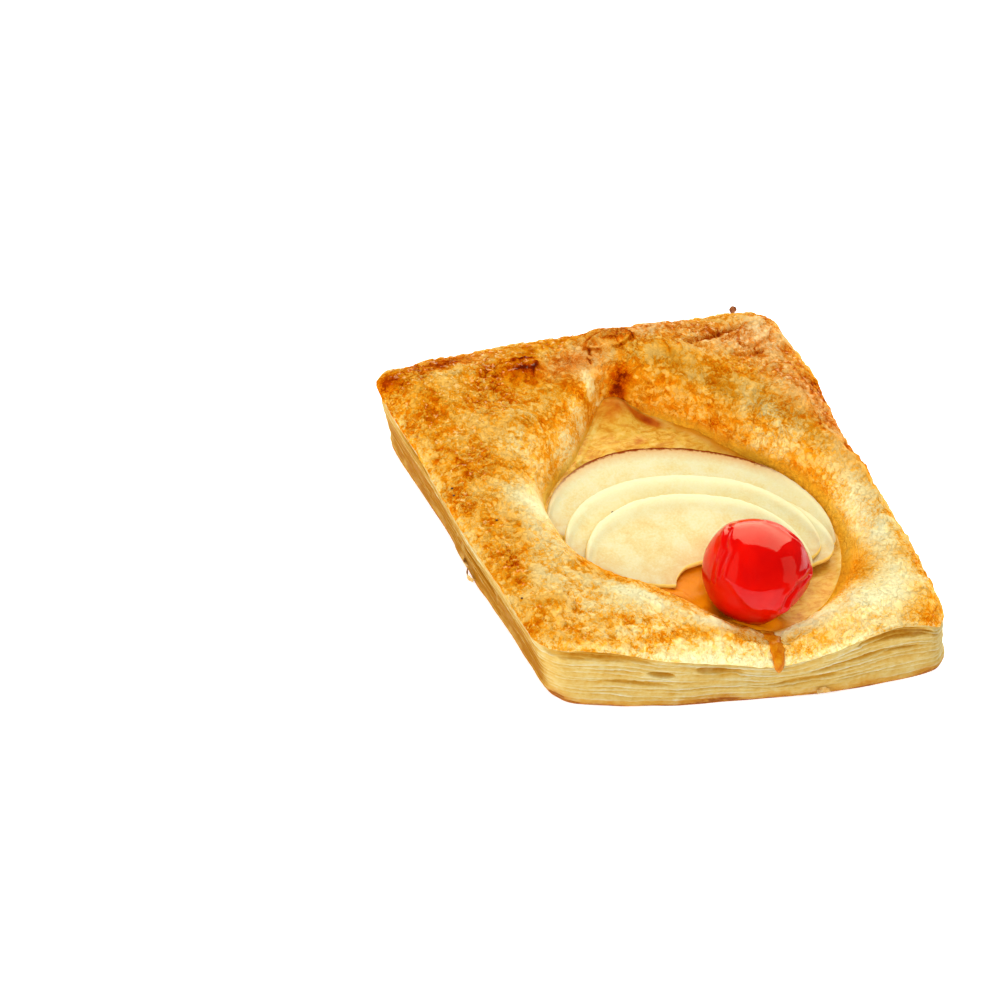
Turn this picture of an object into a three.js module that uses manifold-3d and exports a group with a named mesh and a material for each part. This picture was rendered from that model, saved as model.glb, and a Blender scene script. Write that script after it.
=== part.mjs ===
// An apple tartlet: a hand-sized square of puff pastry that has puffed up round a pressed well.
// The well holds baked custard, a fan of four thin apple slices and one glace cherry.
// Millimetres, +Z up. The tartlet lies flat on its base at z = 0, its front edge towards -Y,
// and the middle of its footprint is at x = 0, y = 0.
import * as THREE from 'three';
import { mergeVertices } from 'three/addons/utils/BufferGeometryUtils.js';
import Module from 'manifold-3d';

const wasm = await Module();
wasm.setup();

// ---------- driving dimensions ----------
const GAP = 0.3; // clear space between pieces that touch

// Corners of the square at the edge of the top crust and at the base, anticlockwise from back right.
// A place round the square is its side plus the share of that side: 0 back, 1 left, 2 front, 3 right.
const CRUST_CORNERS = [[46, 50], [-54, 46.5], [-49, -45.5], [48.5, -52.5]];
const BASE_CORNERS = [[46, 49], [-47.5, 45.5], [-42.2, -45], [51.5, -52.5]];
const EDGE_BOW = [1.6, 0.5, 5.5, 1.2]; // how far each edge bows outwards: back, left, front, right
const CORNER_RADIUS = 5;

// Uneven swelling of the edges, [place, outwards]
const EDGE_SWELL = [
  [0.08, 0.3],
  [0.25, -0.3],
  [0.46, -0.9],
  [0.66, 0.3],
  [0.85, 0.1],
  [1.15, 0.2],
  [1.35, -0.3],
  [1.55, 0.3],
  [1.8, -0.2],
  [2.2, 0.4],
  [2.45, -0.4],
  [2.7, 0.4],
  [3.14, 0.7],
  [3.32, -0.2],
  [3.48, -1.1],
  [3.64, -0.4],
  [3.76, 0.9],
  [3.9, 0.2],
];
const SWELL_FADE = 0.08; // share of a side over which the swelling dies out at each corner

// Pressed well and puffed rim, by direction round the well's middle. Angles in degrees from +X:
// [angle, well radius at the filling, radius of the rim's crest, height of the crest, ease]
// The ease is the distance over which the wall turns from steep to level: small is a sharp, upright wall.
const WELL_MIDDLE = [3, -6];
const RIM = [
  [0, 32.5, 41, 21.4, 4],
  [20, 29.5, 38.5, 22, 3],
  [36, 27.3, 37, 22.8, 2.2],
  [49, 27.5, 37, 23.4, 1.6],
  [60, 29.2, 38.5, 23.8, 1.5],
  [72, 31.2, 41, 24.8, 1.6],
  [86, 34.2, 43.5, 25.4, 2],
  [98, 36.4, 45, 24.6, 2.2],
  [107, 33.4, 43, 23.2, 2.4],
  [117, 30.6, 41.5, 23, 3],
  [129, 28.4, 40.5, 23.4, 4],
  [145, 29.3, 41.5, 22.8, 4],
  [162, 31.5, 42, 22.2, 3.6],
  [180, 30.6, 41.5, 21.7, 4],
  [195, 30.6, 41.5, 21.1, 4],
  [212, 28.4, 42, 20.5, 5],
  [230, 26, 41, 20, 5.5],
  [246, 27.8, 41.5, 19, 5],
  [257, 31.4, 43, 17.6, 4],
  [267, 35.4, 45, 15.6, 3.4],
  [275, 39, 46.5, 14.4, 3],
  [285, 39.6, 46.5, 16, 3],
  [300, 39.4, 46.5, 17.8, 3.2],
  [316, 38.6, 45.5, 19.2, 3.6],
  [338, 36.2, 43.5, 21.2, 4],
];
const FLOOR_HEIGHT = 4.5; // pastry left under the filling
const FLOOR_INSET = 4; // the wall reaches the floor this far inside the well radius
const FILLING_LEVEL = 12; // height at which the well radius is measured

// Height of the top crust's edge round the square, [place, height].
const CRUST_EDGE = [
  [0, 17],
  [0.5, 19],
  [1, 19],
  [1.5, 18.6],
  [2, 18.6],
  [2.16, 18.6],
  [2.3, 15.6],
  [2.46, 12.8],
  [2.56, 11.2],
  [2.66, 12.8],
  [2.84, 17.6],
  [2.92, 16.6],
  [3, 13],
  [3.3, 15.5],
  [3.7, 17],
];
const CRUST_ROLL = 3.4; // distance over which the crust rolls over from its edge onto the top

// Baked layers down the side: how many, depth of the gaps between them, how far their edges stand in
// and out, how far they wave up and down, and how many waves a side has
const LAYERS = 6;
const LAYER_GAP_DEPTH = 0.7;
const LAYER_STAGGER = 0.5;
const LAYER_LIFT = 0.35;
const LAYER_WAVES = 9;
const BASE_TUCK = 0.3; // how far the base's edge is drawn in

// Blisters on the crust: [x, y, half length, half width, turn in degrees, height]. Each fades out at its
// half length and width times the reach.
const BLISTERS = [
  [1.3, 42.8, 8, 4, 5, 1.3],
  [-8.5, 34, 7, 4, 35, 0.9],
  [-29.6, 18.9, 7, 5.5, -30, 1.3],
  [37.3, 38.9, 5, 4, 20, 0.9],
  [-21.7, 37.4, 5.5, 4.5, 10, 1.6],
  [-40, 32, 6, 5, 60, 1.1],
  [-41, -33, 8, 5, 40, 1.2],
  [-24, -43, 7, 3.5, -15, 1],
  [26, -47, 7, 3.5, 15, 0.9],
  [39, 18, 4, 7, 10, 0.8],
  [18, 41, 7, 4, -10, 0.8],
  [-38, -6, 4, 8, 8, 0.8],
];
const BLISTER_REACH = 1.35;

// Crags: broad and fine bumps mixed, and the share of their height that is left at the crust's edge
const CRAG_HEIGHT = 0.9;
const CRAG_SIZE = 6.5;
const FINE_CRAG_SIZE = 3;
const FINE_CRAG_SHARE = 0.45;
const EDGE_CRAG_SHARE = 0.25;

// Custard: level at the well's middle, how it falls to the front, its climb into the back corner, the
// wrinkles of its skin, and how far its plug reaches past the well radius
const CUSTARD_LEVEL = 10.9;
const CUSTARD_FALL = 0.045;
const CUSTARD_CORNER = { x: -1, y: 30, climb: 4, reach: 9.5 };
const WRINKLE = { height: 0.25, length: 5, width: 3 };
const CUSTARD_OVERLAP = 2;

// Apple slices from the lowest up. Middle of the slice's ends in plan, turn, half length, reach to the
// skin side and to the core side, height of the underside at the middle, its rise towards the skin,
// and the scoop that the core left: its middle along the slice, half width and depth.
const SLICES = [
  { at: [3.2, -10.4], turn: -16.5, half: 33, skin: 25.8, core: 7.5, z: 10.7, rise: 0.06, scoop: [4, 9, 6] },
  { at: [4, -16.5], turn: -13, half: 29.5, skin: 18, core: 8, z: 12.05, rise: 0.08, scoop: [2, 9, 7] },
  { at: [0.3, -17.6], turn: -10, half: 29.5, skin: 20.8, core: 8, z: 13.35, rise: 0.1, scoop: [3, 9, 7] },
  { at: [-1, -24], turn: -11, half: 26, skin: 19.8, core: 6.5, z: 14.2, rise: 0.12, scoop: [3.5, 10, 7] },
];
const SLICE_THICK_SKIN = 1.9;
const SLICE_THICK_CORE = 1.1;
const SKIN_SQUARENESS = 2.2; // powers that make a slice's ends fuller than those of an ellipse
const CORE_SQUARENESS = 3;

// Cherry: middle, radius, and the soft flats pressed into it [direction, share taken off, how wide]
const CHERRY = { at: [7, -35, 21.6], radius: 12.2 };
const CHERRY_FLATS = [
  [[0.1, 0.25, 0.95], 0.06, 0.6],
  [[-0.95, -0.15, 0.25], 0.05, 0.65],
  [[0.9, 0.35, 0.2], 0.06, 0.65],
  [[0.55, -0.6, -0.55], 0.07, 0.75],
];

// How finely each piece is divided. On the wall the rings are spread between equal steps of height, 0,
// and equal steps of radius, 1; towards the edge they crowd together by a power.
const WALL_SPREAD = 0.4;
const EDGE_CROWDING = 1.8;
const SPOKES = 128;
const TOP_RINGS = 20;
const WELL_RINGS = 9; // of the top rings, those from the floor to the crest
const SIDE_RINGS = 2 * LAYERS; // one in each gap and one on each layer's edge
const CUSTARD_SPOKES = 62;
const CUSTARD_RINGS = 5;
const SLICE_STATIONS = 28;
const CHERRY_COLUMNS = 24;
const CHERRY_ROWS = 14;

// ---------- small helpers ----------
const mix = (a, b, t) => a + (b - a) * t;
const clamp01 = (t) => Math.min(1, Math.max(0, t));
const smooth = (t) => clamp01(t) ** 2 * (3 - 2 * clamp01(t));
const fraction = (t) => t - Math.floor(t);
const degrees = THREE.MathUtils.radToDeg;
const radians = THREE.MathUtils.degToRad;

// A repeatable number from 0 to 1 for each point of a whole-number grid.
function gridValue(i, j, seed) {
  return fraction(Math.sin(i * 127.1 + j * 311.7 + seed * 74.7) * 43758.5453);
}

// Smooth noise from -1 to 1.
function noise(x, y, seed) {
  const i = Math.floor(x);
  const j = Math.floor(y);
  const u = smooth(x - i);
  const v = smooth(y - j);
  const low = mix(gridValue(i, j, seed), gridValue(i + 1, j, seed), u);
  const high = mix(gridValue(i, j + 1, seed), gridValue(i + 1, j + 1, seed), u);
  return 2 * mix(low, high, v) - 1;
}

// A column of a table whose first column goes once round a period, on a smooth curve through its rows.
function around(table, column, at, period) {
  const place = fraction(at / period) * period;
  const after = table.findIndex((row) => row[0] > place);
  const start = (after < 0 ? table.length : after) - 1;
  const row = (i) => {
    const wrapped = table[(start + i + table.length) % table.length];
    const turns = Math.floor((start + i) / table.length);
    return [wrapped[0] + turns * period, wrapped[column]];
  };
  const [before, last, next, beyond] = [-1, 0, 1, 2].map(row);
  const span = next[0] - last[0];
  const t = (place - last[0]) / span;
  const slope = (from, to) => ((to[1] - from[1]) / (to[0] - from[0])) * span;
  const leave = slope(before, next);
  const arrive = slope(last, beyond);
  return last[1] * (1 + 2 * t) * (1 - t) ** 2 + leave * t * (1 - t) ** 2
    + next[1] * t ** 2 * (3 - 2 * t) + arrive * t ** 2 * (t - 1);
}

// ---------- outline of the square ----------
// The point of a bowed, round-cornered square at a place from 0 to 4 round it.
function outlinePoint(corners, place) {
  const side = Math.floor(place) % 4;
  const share = place - Math.floor(place);
  const corner = (i) => new THREE.Vector2(...corners[(i + 4) % 4]);
  const from = corner(side);
  const to = corner(side + 1);
  const along = to.clone().sub(from);
  const outward = new THREE.Vector2(along.y, -along.x).normalize();
  const bow = EDGE_BOW[side] * 4 * share * (1 - share);
  const clearOfCorners = smooth(share / SWELL_FADE) * smooth((1 - share) / SWELL_FADE);
  const swell = around(EDGE_SWELL, 1, place, 4) * clearOfCorners;
  const point = from.clone().addScaledVector(along, share).addScaledVector(outward, bow + swell);
  // Near a corner the point slides onto a curve that joins the two edges.
  const nearStart = share < 0.5;
  const tip = nearStart ? from : to;
  const other = nearStart ? corner(side - 1) : corner(side + 2);
  const away = Math.min(1, point.distanceTo(tip) / CORNER_RADIUS);
  const turned = (1 - away) / 2;
  const arm = (end) => end.clone().sub(tip).setLength(CORNER_RADIUS);
  const curve = tip.clone().addScaledVector(arm(nearStart ? to : from), (1 - turned) ** 2);
  curve.addScaledVector(arm(other), turned ** 2);
  return away < 1 ? curve : point;
}

// ---------- the pastry's top surface ----------
function blisterHeight(x, y) {
  let height = 0;
  for (const [cx, cy, length, width, turn, rise] of BLISTERS) {
    const c = Math.cos(radians(turn));
    const s = Math.sin(radians(turn));
    const u = ((x - cx) * c + (y - cy) * s) / length;
    const v = ((y - cy) * c - (x - cx) * s) / width;
    height += rise * smooth(BLISTER_REACH - Math.hypot(u, v));
  }
  return height;
}

function cragHeight(x, y) {
  const broad = noise(x / CRAG_SIZE, y / CRAG_SIZE, 3);
  const fine = noise(x / FINE_CRAG_SIZE, y / FINE_CRAG_SIZE, 8);
  return CRAG_HEIGHT * mix(broad, fine, FINE_CRAG_SHARE);
}

// The radii and heights that shape the top along one direction from the well's middle.
function section(angle) {
  return {
    well: around(RIM, 1, angle, 360),
    crest: around(RIM, 2, angle, 360),
    height: around(RIM, 3, angle, 360),
    ease: around(RIM, 4, angle, 360),
  };
}

// A climb from 0 to 1 that is steep at first and then eases off.
function easedClimb(distance, whole, ease) {
  return (1 - Math.exp(-clamp01(distance / whole) * (whole / ease))) / (1 - Math.exp(-whole / ease));
}

// Height of the pastry's top at a radius from the well's middle: floor, wall, crest and outer slope.
function topHeight(rim, radius, reach, edgeHeight) {
  if (radius < rim.well) {
    return mix(FILLING_LEVEL, FLOOR_HEIGHT, clamp01((rim.well - radius) / FLOOR_INSET));
  }
  if (radius < rim.crest) {
    const climb = easedClimb(radius - rim.well, rim.crest - rim.well, rim.ease);
    return mix(FILLING_LEVEL, rim.height, climb);
  }
  return mix(edgeHeight, rim.height, easedClimb(reach - radius, reach - rim.crest, CRUST_ROLL));
}

// ---------- the pastry ----------
// Radius of a ring of the top: floor, foot of the wall, up the wall to the crest, then out to the edge.
function ringRadius(rim, reach, ring) {
  if (ring === 0) {
    return rim.well - FLOOR_INSET;
  }
  if (ring <= WELL_RINGS) {
    const share = (ring - 1) / (WELL_RINGS - 1);
    const whole = rim.crest - rim.well;
    const level = -rim.ease * Math.log(1 - share * (1 - Math.exp(-whole / rim.ease)));
    return rim.well + mix(level, share * whole, WALL_SPREAD);
  }
  const left = (TOP_RINGS - ring) / (TOP_RINGS - WELL_RINGS);
  return mix(reach, rim.crest, left ** EDGE_CROWDING);
}

// A point of the top: floor, wall, crest or outer slope, with blisters and crags on the crust.
function topPoint(middle, out, edgeHeight, ring) {
  const rim = section(degrees(out.angle()));
  const reach = out.length();
  const radius = ringRadius(rim, reach, ring);
  const at = middle.clone().addScaledVector(out, radius / reach);
  const onWall = smooth((radius - rim.well) / (rim.crest - rim.well));
  const fromEdge = smooth((reach - radius) / CRUST_ROLL + EDGE_CRAG_SHARE);
  const relief = (blisterHeight(at.x, at.y) + cragHeight(at.x, at.y)) * onWall * fromEdge;
  return new THREE.Vector3(at.x, at.y, topHeight(rim, radius, reach, edgeHeight) + relief);
}

// A point down the side: odd rings lie in the gaps between layers, even ones on the layers' edges.
function sidePoint(edge, outward, edgeHeight, place, ring) {
  const down = ring / SIDE_RINGS;
  const onBase = ring === SIDE_RINGS;
  const at = edge.clone().lerp(outlinePoint(BASE_CORNERS, place), down);
  const stagger = LAYER_STAGGER * noise(place * LAYER_WAVES, ring, 5);
  const ridge = onBase ? -BASE_TUCK : stagger;
  at.addScaledVector(outward, ring % 2 ? stagger - LAYER_GAP_DEPTH : ridge);
  const lift = onBase ? 0 : LAYER_LIFT * noise(place * LAYER_WAVES, ring, 9);
  return new THREE.Vector3(at.x, at.y, edgeHeight * (1 - down) + lift);
}

// The pastry's surface at one spoke and one ring, counted from the floor of the well, over the crest
// and down the side to the base.
function pastryPoint(spoke, ring) {
  const middle = new THREE.Vector2(...WELL_MIDDLE);
  const place = (spoke / SPOKES) * 4;
  const edge = outlinePoint(CRUST_CORNERS, place);
  const out = edge.clone().sub(middle);
  const edgeHeight = around(CRUST_EDGE, 1, place, 4);
  if (ring <= TOP_RINGS) {
    return topPoint(middle, out, edgeHeight, ring);
  }
  return sidePoint(edge, out.normalize(), edgeHeight, place, ring - TOP_RINGS);
}

// Triangles over rings of points that share a first and a last point.
function ringMesh(first, rings, last) {
  const columns = rings[0].length;
  const points = [first, ...rings.flat(), last];
  const index = [];
  const at = (ring, column) => 1 + ring * columns + (column % columns);
  for (let c = 0; c < columns; c += 1) {
    index.push(0, at(0, c), at(0, c + 1));
    for (let r = 0; r < rings.length - 1; r += 1) {
      index.push(at(r, c), at(r + 1, c), at(r + 1, c + 1));
      index.push(at(r, c), at(r + 1, c + 1), at(r, c + 1));
    }
    index.push(at(rings.length - 1, c), points.length - 1, at(rings.length - 1, c + 1));
  }
  const geometry = new THREE.BufferGeometry().setFromPoints(points);
  geometry.setIndex(index);
  return geometry;
}

function pastry() {
  const ring = (r) => Array.from({ length: SPOKES }, (_, spoke) => pastryPoint(spoke, r));
  const rings = Array.from({ length: TOP_RINGS + SIDE_RINGS + 1 }, (_, r) => ring(r));
  const floor = new THREE.Vector3(...WELL_MIDDLE, FLOOR_HEIGHT);
  const base = new THREE.Vector3(...WELL_MIDDLE, 0);
  return ringMesh(floor, rings, base);
}

// ---------- custard ----------
function custardLevel(x, y) {
  const corner = CUSTARD_CORNER;
  const near = 1 - Math.hypot(x - corner.x, y - corner.y) / corner.reach;
  const wrinkle = WRINKLE.height * noise(x / WRINKLE.length, y / WRINKLE.width, 12);
  return CUSTARD_LEVEL + CUSTARD_FALL * (y - WELL_MIDDLE[1]) + corner.climb * smooth(near) + wrinkle;
}

// Custard as a plug wider and deeper than the well, for the pastry to be cut out of.
function custard() {
  const turn = (s) => (s / CUSTARD_SPOKES) * Math.PI * 2;
  const point = (s, share, height) => {
    const radius = (section(degrees(turn(s))).well + CUSTARD_OVERLAP) * share;
    const x = WELL_MIDDLE[0] + radius * Math.cos(turn(s));
    const y = WELL_MIDDLE[1] + radius * Math.sin(turn(s));
    return new THREE.Vector3(x, y, height ?? custardLevel(x, y));
  };
  const ring = (share, height) =>
    Array.from({ length: CUSTARD_SPOKES }, (_, s) => point(s, share, height));
  const rings = Array.from({ length: CUSTARD_RINGS }, (_, r) => ring((r + 1) / CUSTARD_RINGS));
  rings.push(ring(1, FLOOR_HEIGHT / 2));
  const top = new THREE.Vector3(...WELL_MIDDLE, custardLevel(...WELL_MIDDLE));
  return ringMesh(top, rings, new THREE.Vector3(...WELL_MIDDLE, FLOOR_HEIGHT / 2));
}

// ---------- apple slices ----------
// One slice: sections across it from end to end, each with rounded skin and core edges.
function appleSlice({ at, turn, half, skin, core, z, rise, scoop }) {
  const [scoopAt, scoopHalf, scoopDepth] = scoop;
  const crossing = (u) => {
    const end = Math.abs(u / half);
    const hollow = Math.sqrt(Math.max(0, 1 - ((u - scoopAt) / scoopHalf) ** 2));
    const low = -core * Math.sqrt(1 - end ** CORE_SQUARENESS) + scoopDepth * hollow;
    const high = skin * Math.sqrt(1 - end ** SKIN_SQUARENESS);
    const edge = (v, sign, angle) => {
      const thickness = mix(SLICE_THICK_CORE, SLICE_THICK_SKIN, clamp01((v + core) / (skin + core)));
      const round = Math.min(thickness, high - low) / 2;
      const inward = v - sign * round * (1 - Math.cos(angle));
      return [inward, z + rise * v + thickness / 2 + (thickness / 2) * Math.sin(angle)];
    };
    const angles = [-90, -30, 30, 90].map(radians);
    const outer = angles.map((angle) => edge(high, 1, angle));
    const inner = [...angles].reverse().map((angle) => edge(low, -1, angle));
    return [...outer, ...inner];
  };
  const c = Math.cos(radians(turn));
  const s = Math.sin(radians(turn));
  const place = (u, [v, height]) => new THREE.Vector3(at[0] + u * c - v * s, at[1] + u * s + v * c, height);
  const rings = [];
  for (let i = 1; i < SLICE_STATIONS; i += 1) {
    const u = half * Math.cos((i / SLICE_STATIONS) * Math.PI);
    rings.push(crossing(u).map((p) => place(u, p)));
  }
  const tip = (u) => place(u, [0, z + (SLICE_THICK_CORE + SLICE_THICK_SKIN) / 4]);
  return ringMesh(tip(half), rings, tip(-half));
}

// ---------- cherry ----------
function cherry() {
  const facing = (direction) => new THREE.Vector3(...direction).normalize();
  const flats = CHERRY_FLATS.map(([direction, ...rest]) => [facing(direction), ...rest]);
  const geometry = new THREE.SphereGeometry(1, CHERRY_COLUMNS, CHERRY_ROWS);
  const position = geometry.attributes.position;
  const point = new THREE.Vector3();
  for (let i = 0; i < position.count; i += 1) {
    point.fromBufferAttribute(position, i).normalize();
    let radius = CHERRY.radius;
    for (const [direction, share, width] of flats) {
      radius *= 1 - share * smooth((point.dot(direction) - width) / (1 - width));
    }
    point.multiplyScalar(radius);
    position.setXYZ(i, point.x + CHERRY.at[0], point.y + CHERRY.at[1], point.z + CHERRY.at[2]);
  }
  return geometry;
}

// ---------- cutting pieces clear of each other ----------
function merged(geometry) {
  const bare = geometry.clone();
  bare.deleteAttribute('normal');
  bare.deleteAttribute('uv');
  return mergeVertices(bare, 1e-4);
}

// The same surface, moved outwards by a distance.
function grown(geometry, distance) {
  const copy = merged(geometry);
  copy.computeVertexNormals();
  const { position, normal } = copy.attributes;
  for (let i = 0; i < position.count; i += 1) {
    position.setXYZ(
      i,
      position.getX(i) + normal.getX(i) * distance,
      position.getY(i) + normal.getY(i) * distance,
      position.getZ(i) + normal.getZ(i) * distance,
    );
  }
  return copy;
}

function solid(geometry) {
  const bare = merged(geometry);
  return new wasm.Manifold(new wasm.Mesh({
    numProp: 3,
    vertProperties: new Float32Array(bare.attributes.position.array),
    triVerts: new Uint32Array(bare.index.array),
  }));
}

// The largest part of a shape, less the space that each of the others takes with its gap.
function cutClear(geometry, others) {
  let shape = solid(geometry);
  for (const other of others) {
    shape = shape.subtract(solid(grown(other, GAP)));
  }
  const largest = shape.decompose().sort((a, b) => b.volume() - a.volume())[0];
  const mesh = largest.getMesh();
  const result = new THREE.BufferGeometry();
  result.setAttribute('position', new THREE.BufferAttribute(mesh.vertProperties, 3));
  result.setIndex(new THREE.BufferAttribute(mesh.triVerts, 1));
  return result;
}

// ---------- materials ----------
const crustMaterial = new THREE.MeshStandardMaterial({ color: 0xe0a24c, roughness: 0.45, metalness: 0 });
const custardMaterial = new THREE.MeshStandardMaterial({ color: 0xefb84a, roughness: 0.25, metalness: 0 });
const appleMaterial = new THREE.MeshStandardMaterial({ color: 0xfdf0b0, roughness: 0.4, metalness: 0 });
const cherryMaterial = new THREE.MeshStandardMaterial({ color: 0xe01208, roughness: 0.08, metalness: 0 });

// ---------- the tartlet ----------
const tartlet = new THREE.Group();

function add(name, geometry, material) {
  const mesh = new THREE.Mesh(geometry, material);
  mesh.name = name;
  tartlet.add(mesh);
}

const pastryShape = pastry();
const cherryShape = cherry();
const sliceShapes = SLICES.map(appleSlice);

add('pastry', pastryShape, crustMaterial);
add('custard', cutClear(custard(), [pastryShape, ...sliceShapes, cherryShape]), custardMaterial);
sliceShapes.forEach((shape, i) => {
  const others = [pastryShape, ...sliceShapes.slice(i + 1), cherryShape];
  add(`apple_slice_${i + 1}`, cutClear(shape, others), appleMaterial);
});
add('cherry', cherryShape, cherryMaterial);

// The middle of the footprint goes to x = 0, y = 0.
const middle = new THREE.Box3().setFromObject(tartlet).getCenter(new THREE.Vector3());
tartlet.position.set(-middle.x, -middle.y, 0);

export default tartlet;
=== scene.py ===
import math

import bpy
import numpy as np
from mathutils import Matrix, Vector
from mathutils.bvhtree import BVHTree


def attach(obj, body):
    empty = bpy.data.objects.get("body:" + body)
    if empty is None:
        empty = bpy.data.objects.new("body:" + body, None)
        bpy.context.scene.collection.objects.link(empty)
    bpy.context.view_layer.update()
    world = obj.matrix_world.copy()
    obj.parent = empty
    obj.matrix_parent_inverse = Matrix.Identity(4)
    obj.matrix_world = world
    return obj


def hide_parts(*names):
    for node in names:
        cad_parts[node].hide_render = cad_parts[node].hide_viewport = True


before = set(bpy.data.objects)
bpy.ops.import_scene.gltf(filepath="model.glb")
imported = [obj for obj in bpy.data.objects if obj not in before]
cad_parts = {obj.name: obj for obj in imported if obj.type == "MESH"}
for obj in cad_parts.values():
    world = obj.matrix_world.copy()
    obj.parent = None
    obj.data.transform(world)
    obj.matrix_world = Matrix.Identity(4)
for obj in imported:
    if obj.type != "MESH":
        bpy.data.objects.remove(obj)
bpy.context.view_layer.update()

# The working plan of the tartlet is in millimetres, +Z up, front edge towards -Y.
# The middle of its footprint in that plan is the origin of the scene.
PLAN_MIDDLE = np.array([-1.050058, -2.565905, 0.0])

# ---------- driving dimensions, the same as the solids' ----------
CRUST_CORNERS = [[46, 50], [-54, 46.5], [-49, -45.5], [48.5, -52.5]]
BASE_CORNERS = [[46, 49], [-47.5, 45.5], [-42.2, -45], [51.5, -52.5]]
EDGE_BOW = [1.6, 0.5, 5.5, 1.2]  # how far each edge bows outwards: back, left, front, right
CORNER_RADIUS = 5
# Place round the square, from 0 to 4, and how far the edge swells there
EDGE_SWELL = [
    [0.08, 0.3], [0.25, -0.3], [0.46, -0.9], [0.66, 0.3], [0.85, 0.1], [1.15, 0.2], [1.35, -0.3],
    [1.55, 0.3], [1.8, -0.2], [2.2, 0.4], [2.45, -0.4], [2.7, 0.4], [3.14, 0.7], [3.32, -0.2],
    [3.48, -1.1], [3.64, -0.4], [3.76, 0.9], [3.9, 0.2],
]
SWELL_FADE = 0.08
SIDE_LENGTH = 98
WELL_MIDDLE = np.array([3.0, -6.0])
# Angle, well radius at the filling, radius of the rim's crest, height of the crest, ease
RIM = [
    [0, 32.5, 41, 21.4, 4], [20, 29.5, 38.5, 22, 3], [36, 27.3, 37, 22.8, 2.2], [49, 27.5, 37, 23.4, 1.6],
    [60, 29.2, 38.5, 23.8, 1.5], [72, 31.2, 41, 24.8, 1.6], [86, 34.2, 43.5, 25.4, 2],
    [98, 36.4, 45, 24.6, 2.2], [107, 33.4, 43, 23.2, 2.4], [117, 30.6, 41.5, 23, 3],
    [129, 28.4, 40.5, 23.4, 4], [145, 29.3, 41.5, 22.8, 4], [162, 31.5, 42, 22.2, 3.6],
    [180, 30.6, 41.5, 21.7, 4], [195, 30.6, 41.5, 21.1, 4], [212, 28.4, 42, 20.5, 5],
    [230, 26, 41, 20, 5.5], [246, 27.8, 41.5, 19, 5], [257, 31.4, 43, 17.6, 4], [267, 35.4, 45, 15.6, 3.4],
    [275, 39, 46.5, 14.4, 3], [285, 39.6, 46.5, 16, 3], [300, 39.4, 46.5, 17.8, 3.2],
    [316, 38.6, 45.5, 19.2, 3.6], [338, 36.2, 43.5, 21.2, 4],
]
FLOOR_HEIGHT = 4.5
FLOOR_INSET = 4
FILLING_LEVEL = 12
# Place round the square and height of the crust's edge there
CRUST_EDGE = [
    [0, 17], [0.5, 19], [1, 19], [1.5, 18.6], [2, 18.6], [2.16, 18.6], [2.3, 15.6], [2.46, 12.8],
    [2.56, 11.2], [2.66, 12.8], [2.84, 17.6], [2.92, 16.6], [3, 13], [3.3, 15.5], [3.7, 17],
]
CRUST_ROLL = 3.4
# Ellipse (x, y, half length, half width, turn in degrees) and height
BLISTERS = [
    ((1.3, 42.8, 8, 4, 5), 1.3), ((-8.5, 34, 7, 4, 35), 0.9), ((-29.6, 18.9, 7, 5.5, -30), 1.3),
    ((37.3, 38.9, 5, 4, 20), 0.9), ((-21.7, 37.4, 5.5, 4.5, 10), 1.6), ((-40, 32, 6, 5, 60), 1.1),
    ((-41, -33, 8, 5, 40), 1.2), ((-24, -43, 7, 3.5, -15), 1), ((26, -47, 7, 3.5, 15), 0.9),
    ((39, 18, 4, 7, 10), 0.8), ((18, 41, 7, 4, -10), 0.8), ((-38, -6, 4, 8, 8), 0.8),
]
BLISTER_REACH = 1.35
CRAG_HEIGHT = 0.9
CRAG_SIZE = 6.5
FINE_CRAG_SIZE = 3
FINE_CRAG_SHARE = 0.45
CUSTARD_LEVEL = 10.9
CUSTARD_FALL = 0.045
CUSTARD_CORNER = {"x": -1, "y": 30, "climb": 4, "reach": 9.5}
CUSTARD_OVERLAP = 0.9
SLICES = [
    {"at": [3.2, -10.4], "turn": -16.5, "half": 33, "skin": 25.8, "core": 7.5, "z": 10.7, "rise": 0.06,
     "scoop": [4, 9, 6]},
    {"at": [4, -16.5], "turn": -13, "half": 29.5, "skin": 18, "core": 8, "z": 12.05, "rise": 0.08,
     "scoop": [2, 9, 7]},
    {"at": [0.3, -17.6], "turn": -10, "half": 29.5, "skin": 20.8, "core": 8, "z": 13.35, "rise": 0.1,
     "scoop": [3, 9, 7]},
    {"at": [-1, -24], "turn": -11, "half": 26, "skin": 19.8, "core": 6.5, "z": 14.2, "rise": 0.12,
     "scoop": [3.5, 10, 7]},
]
SLICE_THICK_SKIN = 1.9
SLICE_THICK_CORE = 1.1
SKIN_SQUARENESS = 2.2
CORE_SQUARENESS = 3
CHERRY_AT = np.array([7, -35, 21.6])
CHERRY_RADIUS = 12.2
# Direction, depth as a share of the radius, and the cosine at which the flat ends
CHERRY_FLATS = [
    ((0.1, 0.25, 0.95), 0.06, 0.6), ((-0.95, -0.15, 0.25), 0.05, 0.65),
    ((0.9, 0.35, 0.2), 0.06, 0.65), ((0.55, -0.6, -0.55), 0.07, 0.75),
]
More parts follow.
